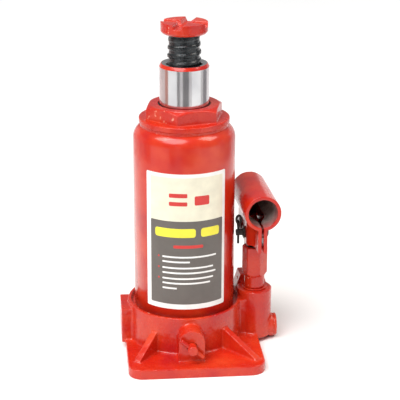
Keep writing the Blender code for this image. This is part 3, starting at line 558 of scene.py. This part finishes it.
def base_casting():
    """Foot, drum, lugs and bosses in one skin, with the machined cuts made after."""
    foot_outline = rounded_rectangle(-53.6, 64.5, BASE_LOW.y, BASE_HIGH.y, 13.0)
    foot = extrude("foot", foot_outline, -0.4, FOOT_THICK + 0.2)
    drum = lathe("drum", ((0.0, 3.0), (51.2, 3.0), (50.6, FOOT_THICK), (DRUM_R + 0.2, COLLAR_TOP + 0.5),
                          (0.0, COLLAR_TOP + 0.5)), 160)
    left_lug = block("left_lug", (BASE_LOW.x, -17.0, 6.0), (-30.0, 17.0, 38.2))
    arch = extrude("arch", arch_outline(11.3, 25.7, 4.0), 30.0, -ARCH_FRONT + 0.2, TO_FRONT)
    web = block("web", (35.0, -12.8, 3.0), (PUMP_X, 12.8, COLLAR_TOP + 0.1))
    boss_outline = ((0.0, 4.0), (BOSS_R + 0.1, 4.0), (BOSS_R + 0.1, BOSS_TOP + 0.2), (0.0, BOSS_TOP + 0.2))
    boss = lathe("boss", boss_outline, 96, AT_PUMP)
    plug_boss = rod("plug_boss", PLUG_R + 0.6, (PUMP_X - 5.0, 0.0, GALLERY_Z),
                    (BASE_HIGH.x + 0.3, 0.0, GALLERY_Z), 64)
    lug_outline = ((-15.5, 3.0), (15.5, 3.0), (15.5, 40.0), (10.5, 55.8), (-10.5, 55.8), (-15.5, 40.0))
    link_lug = extrude("link_lug", lug_outline, 12.4, 29.6, PUMP_FRAME @ TO_BACK)
    ribs = [rib(x, y) for x, y in ((-46.0, -63.5), (58.0, -67.0), (58.0, 54.0), (-46.0, 54.0))]
    skin = cast("base_body", [foot, drum, left_lug, arch, web, boss, plug_boss, link_lug, *ribs], 0.7, 3)
    roughen(skin, 0.30, 6.0, 4.0)
    for vertex in skin.data.vertices:
        vertex.co.z = max(vertex.co.z, 0.0)

    # From the axis out: the cylinder's seat, the tank's seat, and the gap inside the collar
    groove = ((0.0, 26.0), (CYLINDER_SEAT_R, 26.0), (CYLINDER_SEAT_R, 37.0), (41.1, 37.0), (41.3, 37.6),
              (GROOVE_R - 0.2, 37.6), (GROOVE_R, 38.4), (GROOVE_R, COLLAR_TOP - 1.0),
              (GROOVE_R + 1.0, COLLAR_TOP + 3.0), (0.0, COLLAR_TOP + 3.0))
    boolean(skin, lathe("groove", groove, 160))
    boolean(skin, rod("valve_bore", 4.7, (ARCH_X, ARCH_FRONT - 4.0, VALVE_Z), (ARCH_X, -50.0, VALVE_Z)))
    boolean(skin, rod("overload_bore", 5.4, (BASE_LOW.x - 3.0, 0.0, VALVE_Z), (-48.0, 0.0, VALVE_Z)))
    boolean(skin, rod("pump_bore", 8.6, (PUMP_X, 0.0, 26.0), (PUMP_X, 0.0, BOSS_TOP + 4.0)))
    boolean(skin, block("fork_slot", (-FORK_GAP, 12.2, 38.6), (FORK_GAP, 40.0, 70.0), PUMP_FRAME))
    dress(skin, CAST_RED, "base", ["base_casting"], 50.0)


# ---------------------------------------------------------------- tank, label and nut
def tank():
    """Drawn tank: straight wall and a round shoulder that runs under the nut's flange."""
    centre = (TANK_R - SHOULDER_R, TANK_HIGH.z - SHOULDER_R)
    outline = [(TANK_R - TANK_WALL, TANK_LOW.z + 0.4), (TANK_R - 0.5, TANK_LOW.z), (TANK_R, TANK_LOW.z + 0.6)]
    outline += arc(centre, SHOULDER_R, 0.0, math.pi / 2.0, 16)
    outline += arc(centre, SHOULDER_R - TANK_WALL, math.pi / 2.0, 0.0, 8)
    dress(lathe("tank_shell", outline, 192), SMOOTH_RED, "base", ["reservoir_tank"], 50.0)


def slab(bm, first, last, low, high, inner, outer, ink, corner):
    """A patch of the tank's surface between two angles (degrees) and two heights, its corners round."""
    columns = max(4, int(abs(last - first) / 1.5))
    even = [first + (last - first) * step / columns for step in range(columns + 1)]
    corner_angle = math.degrees(corner / ((inner + outer) / 2.0))
    fine = [corner_angle * (1.0 - math.cos(math.pi / 2.0 * step / 5)) for step in range(6)]
    stops = sorted({round(value, 4) for value in
                    [first + offset for offset in fine] + [last - offset for offset in fine] +
                    [stop for stop in even if first + corner_angle < stop < last - corner_angle]})
    sections = []
    for stop in stops:
        share = max(0.0, 1.0 - min(stop - first, last - stop) / corner_angle)
        inset = corner * (1.0 - math.sqrt(max(0.0, 1.0 - share * share)))
        angle = math.radians(stop)
        corners = ((inner, low + inset), (outer, low + inset), (outer, high - inset), (inner, high - inset))
        sections.append([bm.verts.new((*polar(reach, angle), z)) for reach, z in corners])
    faces = []
    for section, following in zip(sections, sections[1:]):
        for side in range(4):
            after = (side + 1) % 4
            faces.append(bm.faces.new((section[side], section[after], following[after], following[side])))
    faces.append(bm.faces.new(sections[0]))
    faces.append(bm.faces.new(sections[-1]))
    for face in faces:
        face.material_index = ink


def label():
    """A vinyl sheet with a pale and a dark panel; bars stand where a label has words."""
    white, cream, grey, red, yellow = range(5)
    bm = bmesh.new()
    sheet_in, sheet_out = TANK_R + 0.05, TANK_R + 0.34
    panel_out, print_out = sheet_out + 0.06, sheet_out + 0.12
    slab(bm, -140.4, -43.8, 48.2, 170.8, sheet_in, sheet_out, white, 1.2)
    slab(bm, -134.4, -48.0, 129.0, 167.6, sheet_out - 0.02, panel_out, cream, 1.0)
    slab(bm, -134.4, -48.0, 52.8, 128.9, sheet_out - 0.02, panel_out, grey, 1.0)

    def mark(first, last, low, high, ink, corner):
        slab(bm, first, last, low, high, panel_out, print_out, ink, corner)

    # Two bars and a block stand where the load is printed
    mark(-111.6, -91.4, 142.8, 146.4, red, 0.8)
    mark(-111.6, -91.4, 150.2, 153.8, red, 0.8)
    mark(-83.4, -66.4, 143.2, 151.4, red, 1.2)

    # Two blocks for the heading and a bar for the line below it
    mark(-128.4, -82.0, 114.4, 122.4, yellow, 2.2)
    mark(-76.0, -53.0, 114.4, 122.4, yellow, 2.2)
    mark(-106.8, -73.4, 104.6, 107.4, red, 1.0)

    # Bars for the small print, by their right end and height, with a bullet at each paragraph
    for end, height, bullet in ((-57.0, 96.4, True), (-88.4, 92.0, False), (-61.0, 86.4, True),
                                (-57.6, 81.8, False), (-60.8, 76.6, True), (-64.6, 72.2, False),
                                (-103.0, 67.6, False)):
        mark(-119.6, end, height - 0.75, height + 0.75, white, 0.5)
        if bullet:
            mark(-125.0, -123.2, height - 0.8, height + 0.8, red, 0.4)
    inks = [print_ink("ink_white", (0.86, 0.86, 0.84)), print_ink("ink_cream", (0.80, 0.76, 0.60)),
            print_ink("ink_grey", (0.125, 0.110, 0.098)), print_ink("ink_red", (0.62, 0.035, 0.03)),
            print_ink("ink_yellow", (0.86, 0.78, 0.05))]
    dress(to_object("label_sheet", bm), inks, "base", ["label"], 30.0)


def crown_nut():
    """Chamfered hexagon over a round flange, painted over; the bore is cut after."""
    corner_r = NUT_FLATS / 2.0 / math.cos(math.radians(30.0))
    top = NUT_HIGH.z
    prism = ((0.0, 206.0), (corner_r, 206.0), (corner_r, top + 0.3), (0.0, top + 0.3))
    hexagon = lathe("hexagon", prism, 6, phase=NUT_TURN)
    chamfer = ((0.0, 200.0), (40.0, 200.0), (40.0, top - 5.6), (29.8, top + 0.3), (0.0, top + 0.3))
    boolean(hexagon, lathe("cone", chamfer, 128), "INTERSECT")
    flange = lathe("flange", ((0.0, 199.0), (33.2, 199.0), (33.2, 201.6), (FLANGE_R - 0.9, 201.6),
                              (FLANGE_R - 0.9, 204.4), (FLANGE_R + 0.1, 204.8), (FLANGE_R + 0.1, 208.9),
                              (FLANGE_R - 0.9, 209.3), (0.0, 209.5)), 160)
    nut = cast("crown_nut", [hexagon, flange], 0.45, 2)
    roughen(nut, 0.12, 6.0, 9.0)
    bore = rounded(((0.0, 190.0), (21.7, 190.0), (21.7, 215.8), (22.5, 215.8), (22.5, top - 0.8),
                    (23.1, top + 3.0), (0.0, top + 3.0)), 0.4)
    boolean(nut, lathe("bore", bore, 128))
    dress(nut, CAST_RED, "base", ["top_nut"], 50.0)
    wiper = rounded(((21.75, 216.1), (22.6, 216.1), (22.6, top - 0.9), (22.1, top - 0.5), (21.5, top - 0.6),
                     (21.5, top - 1.4), (21.9, top - 2.6)), 0.2, open_ends=False)
    dress(lathe("wiper_ring", wiper, 128), RUBBER, "base", ["ram_wiper"])


def filler_plug():
    """Rubber plug pressed into the back of the tank, with a raised rim."""
    stub = along((0.0, TANK_R - 1.0, FILLER_Z), (0.0, TANK_R + 6.0, FILLER_Z))
    outline = rounded(((0.0, 0.0), (7.5, 0.0), (7.5, 2.0), (6.2, 3.4), (2.6, 3.7), (1.6, 3.2),
                       (0.0, 3.2)), 0.6)
    dress(lathe("filler_plug", outline, 64, stub), RUBBER, "base", ["oil_filler_plug"])


# ---------------------------------------------------------------- ram, screw and saddle
def ram_tube():
    """Polished tube whose chamfered mouth carries a ring of red paint."""
    top = RAM_HIGH.z
    outline = rounded(((16.8, RAM_LOW.z), (RAM_R, RAM_LOW.z), (RAM_R, top - 2.6), (RAM_R - 1.5, top),
                       (16.6, top), (RAM_BORE_R, top - 1.2), (RAM_BORE_R, 231.5), (16.8, 231.5)),
                      0.35, open_ends=False)
    tube = lathe("ram_tube", outline, 192)
    dress(tube, [CHROME, SMOOTH_RED], "ram", ["ram"], 30.0)
    for face in tube.data.polygons:
        middle = face.center / MM
        reach = math.hypot(middle.x, middle.y)
        if middle.z > top - 2.75 and reach > RAM_R - 2.0:
            face.material_index = 1


def thread_radius(turn):
    """Radius at a share of one pitch: a flat root, two flanks and a flat crest."""
    flanks = ((0.0, 0.0), (0.22, 0.0), (0.40, 1.0), (0.66, 1.0), (0.84, 0.0), (1.0, 0.0))
    for (start, low), (end, high) in zip(flanks, flanks[1:]):
        if start <= turn <= end:
            share = (turn - start) / (end - start)
            eased = share * share * (3.0 - 2.0 * share)
            return SCREW_ROOT + (SCREW_R - SCREW_ROOT) * (low + (high - low) * eased)
    return SCREW_ROOT


def extension_screw():
    """A right-hand thread wound on the core, running out below the saddle."""
    columns, rows = 96, 300
    low, high = SCREW_LOW.z, SADDLE_LOW.z + 1.0
    bm = bmesh.new()
    rings = []
    for row in range(rows + 1):
        z = low + (high - low) * row / rows
        runs_in = min(1.0, max(0.0, (z - THREAD_START + 1.0) / 3.0))
        fade = runs_in * min(1.0, max(0.12, (SADDLE_LOW.z - z) / 15.0))
        ring = []
        for step in range(columns):
            angle = math.tau * step / columns
            turn = ((z - THREAD_START) / SCREW_PITCH - step / columns) % 1.0
            radius = SCREW_ROOT + (thread_radius(turn) - SCREW_ROOT) * fade
            ring.append(bm.verts.new((*polar(radius, angle), z)))
        rings.append(ring)
    for ring, following in zip(rings, rings[1:]):
        bridge(bm, ring, following)
    bm.faces.new(rings[0])
    bm.faces.new(rings[-1])
    screw = roughen(to_object("thread_screw", bm), 0.30, 4.0, 6.0)
    dress(screw, GREASED, "screw", ["extension_screw"], 60.0)


def saddle():
    """Forged saddle: a disc with two grooves crossing its face."""
    low, high = SADDLE_LOW.z, SADDLE_HIGH.z
    disc = lathe("disc", ((0.0, low - 0.1), (SADDLE_R - 1.4, low - 0.1), (SADDLE_R + 0.1, low + 1.8),
                          (SADDLE_R + 0.1, high - 0.05), (0.0, high - 0.05)), 160)
    section = ((-5.2, 1.0), (-3.2, -3.9), (3.2, -3.9), (5.2, 1.0))
    for turn in (SADDLE_TURN, SADDLE_TURN + 90.0):
        place = Matrix.Translation((0.0, 0.0, high)) @ Matrix.Rotation(math.radians(turn), 4, "Z")
        boolean(disc, extrude("groove", section, -25.0, 25.0, place @ TO_BACK))
    piece = roughen(cast("saddle_head", [disc], 0.32, 1), 0.12, 4.0, 2.0)
    dress(piece, CAST_RED, "screw", ["saddle"], 60.0)


# ---------------------------------------------------------------- pump
def pump_barrel():
    """Hexagon barrel with a round neck, and the ring and wiper at its two ends."""
    corner_r = BARREL_FLATS / 2.0 / math.cos(math.radians(30.0))
    low, top = BARREL_SHOULDER, BARREL_HIGH.z
    prism = ((0.0, low - 1.5), (corner_r, low - 1.5), (corner_r, top + 0.2), (0.0, top + 0.2))
    body = lathe("hexagon", prism, 6, AT_PUMP, math.radians(47.0))
    chamfer = ((0.0, 50.0), (9.0, 50.0), (9.0, low), (13.4, low + 6.0), (13.4, top - 2.0), (9.8, top + 0.2),
               (0.0, top + 0.2))
    boolean(body, lathe("cone", chamfer, 64, AT_PUMP), "INTERSECT")
    neck = lathe("neck", ((0.0, 46.0), (8.2, 46.0), (8.2, 50.0), (9.1, 50.0), (9.1, low + 3.0),
                          (0.0, low + 3.0)), 64, AT_PUMP)
    barrel = roughen(cast("pump_barrel", [body, neck], 0.42, 3), 0.14, 3.0, 5.0)
    boolean(barrel, rod("bore", 6.4, (PUMP_X, 0.0, 40.0), (PUMP_X, 0.0, top + 4.0), 48))
    dress(barrel, CAST_RED, "base", ["pump_cylinder"], 50.0)
    gasket = rounded(((8.5, 48.7), (10.9, 48.7), (10.9, 49.9), (8.5, 49.9)), 0.4, open_ends=False)
    dress(lathe("pump_ring", gasket, 64, AT_PUMP), CAST_RED, "base", ["pump_gasket"])
    wiper = rounded(((6.15, top - 3.0), (7.9, top - 3.0), (7.9, top + 0.1), (7.0, top + 0.7),
                     (6.15, top + 0.4)), 0.3, open_ends=False)
    dress(lathe("plunger_ring", wiper, 64, AT_PUMP), RUBBER, "base", ["plunger_wiper"])


def eye_outline(radius, half_shank, low):
    """Side view of a round eye at the pin's height over a straight shank."""
    lean = math.acos(half_shank / radius)
    feet = [(-half_shank, low), (half_shank, low)]
    return feet + arc((0.0, PIN_Z), radius, -lean, math.pi + lean, 32)


def in_pump_frame(*point):
    """World place, in millimetres, of a point in the pump's turned frame."""
    return PUMP_FRAME @ Vector(point)


def cross_hole(back, height, radius, reach):
    """A cutter across the pump's frame, for a pin's hole."""
    return rod("cross_hole", radius, in_pump_frame(-reach, back, height), in_pump_frame(reach, back, height))


def plunger():
    """Bright plunger with its eye, and the pin, washer and split pin through it."""
    shaft = lathe("shaft", rounded(((0.0, 32.5), (5.9, 32.5), (5.9, 94.0), (0.0, 94.0)), 0.5), 64, PUMP_FRAME)
    eye = extrude("eye", eye_outline(7.1, 5.3, 91.5), -4.9, 4.9, PUMP_FRAME @ SIDEWAYS)
    piece = cast("plunger_rod", [shaft, eye], 0.4, 2)
    boolean(piece, cross_hole(0.0, PIN_Z, PIN_R + 0.3, 10.0))
    dress(piece, CHROME, "plunger", ["pump_plunger"], 50.0)

    across = PUMP_FRAME @ Matrix.Translation((0.0, 0.0, PIN_Z)) @ LAID_ACROSS
    pin = rounded(((0.0, -17.3), (2.8, -17.3), (2.8, -11.6), (PIN_R, -11.2), (PIN_R, 10.0), (4.8, 10.0),
                   (4.8, 11.3), (0.0, 11.3)), 0.5)
    dress(lathe("plunger_pin_bar", pin, 56, across), DARK, "plunger", ["plunger_pin"])
    washer = rounded(((PIN_R + 0.2, -10.9), (5.5, -10.9), (5.5, -10.0), (PIN_R + 0.2, -10.0)), 0.3,
                     open_ends=False)
    dress(lathe("pin_washer", washer, 56, across), DARK, "plunger", ["plunger_pin_washer"])
    dress(wire("split_pin", split_pin_path(), 1.05), DARK, "plunger", ["plunger_split_pin"])


def split_pin_path():
    """Straight legs down through the pin and a long open eye above it."""
    side = -15.2
    points = [in_pump_frame(side, 0.0, PIN_Z - 10.4 + 2.0 * step) for step in range(9)]
    for x, z in arc((0.0, 0.0), 1.0, math.radians(250.0), math.radians(-55.0), 24):
        points.append(in_pump_frame(side + 0.3 + 2.1 * x, 0.0, PIN_Z + 12.0 + 3.6 * z))
    return points


def open_circle(radius, half_gap, steps):
    """Most of the socket tube's circle, anticlockwise from one lip of its gap to the other."""
    lean = math.asin(half_gap / radius)
    return arc((0.0, SOCKET_Z), radius, lean - math.pi / 2.0, 1.5 * math.pi - lean, steps)


def socket_section(back, gap, steps=40):
    """Section of the pressed socket: a round tube that opens into two flanges."""
    low = PIN_Z - 7.2 if back < -12.0 else PIN_Z - 9.0
    outer = open_circle(SOCKET_R, gap + SOCKET_WALL, steps)
    inner = open_circle(SOCKET_R - SOCKET_WALL, gap, steps)
    points = [(gap + SOCKET_WALL, low), *outer, (-gap - SOCKET_WALL, low),
              (-gap, low), *reversed(inner), (gap, low)]
    return [in_pump_frame(side, back, height) for side, height in points]


def handle_socket():
    """Sheet pressed round the handle and down into a fork; the tube is bare inside."""
    stations = ((SOCKET_FRONT, 0.9), (-22.0, 0.9), (-19.0, 1.7), (-15.0, 3.6), (-11.0, 5.5), (-8.0, FORK_GAP),
                (SOCKET_REAR, FORK_GAP))
    bm = bmesh.new()
    sections = [[bm.verts.new(point) for point in socket_section(back, gap)] for back, gap in stations]
    for section, following in zip(sections, sections[1:]):
        bridge(bm, section, following)
    bm.faces.new(sections[0])
    bm.faces.new(sections[-1])
    piece = cast("socket_pressing", [to_object("socket", bm)], 0.5, 3)
    for back in (-0.9, 1.5, LEVER):
        boolean(piece, cross_hole(back, PIN_Z, EYE_BORE_R, 20.0))
    roughen(piece, 0.16, 9.0, 3.0)
    dress(piece, [SMOOTH_RED, BARE_WALL], "socket", ["handle_socket"], 50.0)
    turned_back = PUMP_FRAME.inverted()
    for face in piece.data.polygons:
        middle = turned_back @ (face.center / MM)
        from_axis = math.hypot(middle.x, middle.z - SOCKET_Z)
        in_bore = from_axis < SOCKET_R - SOCKET_WALL + 0.9 and middle.z > SOCKET_Z - SOCKET_R + 2.0
        in_length = SOCKET_FRONT + 0.6 < middle.y < SOCKET_REAR - 0.6
        face.material_index = 1 if in_bore and in_length else 0


def socket_end_plug():
    """A disc in the tube's far end with a tongue down between the fork's sides."""
    half_tongue = FORK_GAP + 0.4
    outline = [(-half_tongue, 104.7), (half_tongue, 104.7), *open_circle(12.9, half_tongue, 48)]
    plate = extrude("plate", outline, 29.8, 33.1, PUMP_FRAME @ TO_BACK)
    dress(cast("socket_stop", [plate], 0.4, 1), DARK, "socket", ["socket_end_plug"])


def headed_pin(name, height, reach, body, nodes):
    """A headed pin through a fork and the clip in the groove at its far end."""
    across = PUMP_FRAME @ Matrix.Translation((0.0, LEVER, height)) @ LAID_ACROSS
    outline = rounded(((0.0, -reach), (PIN_R, -reach), (PIN_R, -reach + 1.0), (3.2, -reach + 1.0),
                       (3.2, -reach + 2.3), (PIN_R, -reach + 2.3), (PIN_R, reach - 2.2), (5.6, reach - 2.2),
                       (5.6, reach - 0.2), (0.0, reach - 0.2)), 0.5)
    dress(lathe(name, outline, 56, across), DARK, body, [nodes[0]])
    ring = rounded(((3.4, -reach + 1.25), (6.2, -reach + 1.25), (6.2, -reach + 2.05), (3.4, -reach + 2.05)),
                   0.2, open_ends=False)
    dress(lathe(name + "_ring", ring, 56, across), SPRING, body, [nodes[1]])


def link():
    """Waisted link between the base's lug and the socket, and the pins in its eyes."""
    radius, half_waist = 7.3, 4.5
    lean = math.asin(half_waist / radius)
    outline = []
    for height, waist_at in ((LINK_BASE_Z, math.pi / 2.0), (PIN_Z, -math.pi / 2.0)):
        outline += arc((LEVER, height), radius, waist_at + lean, waist_at + math.tau - lean, 32)
    piece = cast("link_bar", [extrude("bar", outline, -5.5, 5.5, PUMP_FRAME @ SIDEWAYS)], 0.5, 3)
    for height in (LINK_BASE_Z, PIN_Z):
        boolean(piece, cross_hole(LEVER, height, EYE_BORE_R, 10.0))
    dress(roughen(piece, 0.12, 4.0, 7.0), CAST_RED, "link", ["link"], 50.0)
    reach = 12.6
    headed_pin("top_pin", PIN_Z, reach, "link", ("link_top_pin", "link_top_pin_clip"))
    pin = rod("base_pin", PIN_R, in_pump_frame(-reach, LEVER, LINK_BASE_Z),
              in_pump_frame(reach, LEVER, LINK_BASE_Z), 48, 0.6)
    dress(pin, CAST_RED, "base", ["link_base_pin"])


# ---------------------------------------------------------------- valves
def release_valve():
    """Painted valve stub with its sloping cross pin."""
    stem = along((ARCH_X, -45.0, VALVE_Z), (ARCH_X, -80.0, VALVE_Z))
    outline = rounded(((0.0, 0.0), (4.9, 0.0), (4.9, 18.4), (4.3, 19.2), (4.3, 29.2), (0.0, 29.2)), 0.9)
    screw = roughen(lathe("release_screw", outline, 64, stem), 0.06, 3.0, 8.0)
    dress(screw, CAST_RED, "release_valve", ["release_valve_screw"], 50.0)
    slope, reach = math.radians(40.0), 12.5
    middle = Vector((ARCH_X, ARCH_FRONT - 4.4, VALVE_Z))
    side = Vector((math.cos(slope), 0.0, -math.sin(slope)))
    pin = rod("release_bar", 1.8, middle - side * reach, middle + side * reach, 32, 0.5)
    dress(pin, SMOOTH_RED, "release_valve", ["release_cross_pin"])


def side_fittings():
    """The outlet valve's plug at the pump's side and the overload screw in the lug."""
    at_gallery = Matrix.Translation((0.0, 0.0, GALLERY_Z)) @ LAID_ACROSS
    outline = rounded(((0.0, 74.0), (6.2, 74.0), (6.2, BASE_HIGH.x + 0.2), (PLUG_R, BASE_HIGH.x + 0.2),
                       (PLUG_R, PLUG_HIGH.x), (0.0, PLUG_HIGH.x)), 0.7)
    plug = lathe("outlet_plug", outline, 72, at_gallery)
    boolean(plug, lathe("key", ((0.0, 79.5), (2.9, 79.5), (2.9, 86.0), (0.0, 86.0)), 6, at_gallery))
    plug = cast("outlet_plug_head", [plug], 0.35, 1)
    dress(plug, CAST_RED, "base", ["valve_plug"], 30.0)
    at_lug = Matrix.Translation((0.0, 0.0, VALVE_Z)) @ LAID_ACROSS
    outline = rounded(((0.0, -56.8), (4.9, -56.8), (4.9, -50.0), (0.0, -50.0)), 0.6)
    screw = lathe("overload_plug", outline, 64, at_lug)
    boolean(screw, block("driver_slot", (-60.0, -0.8, VALVE_Z - 8.0), (-55.0, 0.8, VALVE_Z + 8.0)))
    dress(screw, CAST_RED, "base", ["overload_screw"], 30.0)


def hidden_nodes():
    """Finishes of the CAD pieces that stay inside the jack."""
    finishes = {"ground_steel": CHROME, "plain_steel": STEEL, "dark_steel": DARK, "spring_steel": SPRING,
                "copper": COPPER, "bronze": BRONZE, "black_rubber": RUBBER, "red_enamel": CAST_RED}
    for part in frame["record"]["subparts"]:
        node = frame["nodes"][part["node"]]
        if node.hide_render or part["material_slot"] not in finishes:
            continue
        node.data.materials.clear()
        node.data.materials.append(finishes[part["material_slot"]])


# ---------------------------------------------------------------- floor, light, camera
CAMERA_AT = (-0.0921, -1.1102, 0.5312)
CAMERA_LENS = 121.94
CAMERA_HEADING, CAMERA_PITCH, CAMERA_ROLL = math.radians(-5.45), math.radians(19.68), math.radians(0.24)
CAMERA_SIDE = math.radians(-5.0)
FLOOR_HALF = 40.0
WARM_WHITE = (1.0, 0.94, 0.86)

# What the ram mirrors: each card's name, its two angles round the ram from the camera's side, its colour
CARDS = (("far_left", -150.0, -96.0, (0.88, 0.74, 0.73)),
         ("red_card", -96.0, -77.0, (0.70, 0.36, 0.31)),
         ("left_line", -32.0, -19.0, (0.38, 0.38, 0.39)),
         ("mid_card", -19.0, -6.0, (0.85, 0.85, 0.87)),
         ("front_card", -6.0, 21.0, (0.27, 0.27, 0.28)),
         ("seam_card", 21.0, 34.0, (0.85, 0.85, 0.87)),
         ("right_edge", 80.0, 94.0, (0.60, 0.59, 0.60)),
         ("right_card", 94.0, 122.0, (0.25, 0.24, 0.25)),
         ("far_right", 122.0, 160.0, (0.66, 0.64, 0.65)))
CARD_DISTANCE, CARD_LOW, CARD_HIGH = 0.42, 0.045, 0.33


def stage_mesh(name, bm, material):
    """Put a bmesh in metres into the studio, as no part of the object."""
    mesh = bpy.data.meshes.new(name)
    bm.to_mesh(mesh)
    bm.free()
    mesh.materials.append(material)
    made = bpy.data.objects.new(name, mesh)
    bpy.context.scene.collection.objects.link(made)
    return made


def floor_material():
    """Pale paper with a very faint cloud."""
    made = Finish("paper_floor")
    made.colour(made.ramp(made.noise(400.0, 2.0), ((0.3, (0.90, 0.90, 0.90)), (0.7, (0.94, 0.94, 0.94)))))
    made.roughness(made.scale(made.noise(60.0, 2.0), 0.75, 0.9))
    return made.material


def area_light(name, location, size, power):
    """A soft, warm rectangular light aimed at the object's middle, in metres."""
    data = bpy.data.lights.new(name, "AREA")
    data.shape = "RECTANGLE"
    data.size, data.size_y = size
    data.energy = power
    data.color = WARM_WHITE
    made = bpy.data.objects.new(name, data)
    made.location = location
    aim = Vector((0.0, 0.0, 0.15)) - Vector(location)
    made.rotation_euler = aim.to_track_quat("-Z", "Y").to_euler()
    bpy.context.scene.collection.objects.link(made)


def curved_card(name, first, last, colour):
    """A card that only reflections see, bent round the ram between two angles in degrees."""
    bm = bmesh.new()
    posts = []
    for step in range(7):
        angle = math.radians(-90.0 + first + (last - first) * step / 6) + CAMERA_SIDE
        x, y = polar(CARD_DISTANCE, angle)
        posts.append((bm.verts.new((x, y, CARD_LOW)), bm.verts.new((x, y, CARD_HIGH))))
    for (foot, head), (next_foot, next_head) in zip(posts, posts[1:]):
        bm.faces.new((foot, next_foot, next_head, head))
    finish = Finish(name)
    finish.constant(Base_Color=(*colour, 1.0), Roughness=0.9)
    card = stage_mesh(name, bm, finish.material)
    card.visible_camera = False
    card.visible_shadow = False
    card.visible_diffuse = False


def studio():
    """Pale floor, even daylight, two boxes over the shoulders and the cards round the ram."""
    bm = bmesh.new()
    bmesh.ops.create_grid(bm, x_segments=1, y_segments=1, size=FLOOR_HALF)
    stage_mesh("floor", bm, floor_material())

    world = bpy.data.worlds.new("studio")
    world.use_nodes = True
    background = world.node_tree.nodes["Background"]
    background.inputs["Color"].default_value = (1.0, 1.0, 1.0, 1.0)
    background.inputs["Strength"].default_value = 0.30
    bpy.context.scene.world = world

    sun = bpy.data.lights.new("even_light", "SUN")
    sun.energy = 2.9
    sun.angle = math.radians(45.0)
    made = bpy.data.objects.new("even_light", sun)
    made.rotation_euler = Vector((0.42, 0.55, -1.0)).to_track_quat("-Z", "Y").to_euler()
    bpy.context.scene.collection.objects.link(made)

    area_light("left_box", (-0.60, -0.10, 1.10), (0.36, 0.55), 4.2)
    area_light("right_box", (0.65, -0.12, 1.08), (0.46, 0.55), 5.2)
    for card in CARDS:
        curved_card(*card)


def camera():
    """The photo's camera, fitted to it: place, long lens, heading, pitch and roll."""
    data = bpy.data.cameras.new("camera")
    data.lens = CAMERA_LENS
    data.sensor_width = 36.0
    data.clip_start, data.clip_end = 0.05, 200.0
    made = bpy.data.objects.new("camera", data)
    made.matrix_world = (Matrix.Translation(CAMERA_AT) @ Matrix.Rotation(CAMERA_HEADING, 4, "Z")
                         @ Matrix.Rotation(math.pi / 2.0 - CAMERA_PITCH, 4, "X")
                         @ Matrix.Rotation(CAMERA_ROLL, 4, "Z"))
    bpy.context.scene.collection.objects.link(made)
    bpy.context.scene.camera = made


base_casting()
tank()
label()
crown_nut()
filler_plug()
ram_tube()
extension_screw()
saddle()
pump_barrel()
plunger()
handle_socket()
socket_end_plug()
link()
release_valve()
side_fittings()
hidden_nodes()
studio()
camera()

bpy.context.scene.view_settings.view_transform = "Standard"
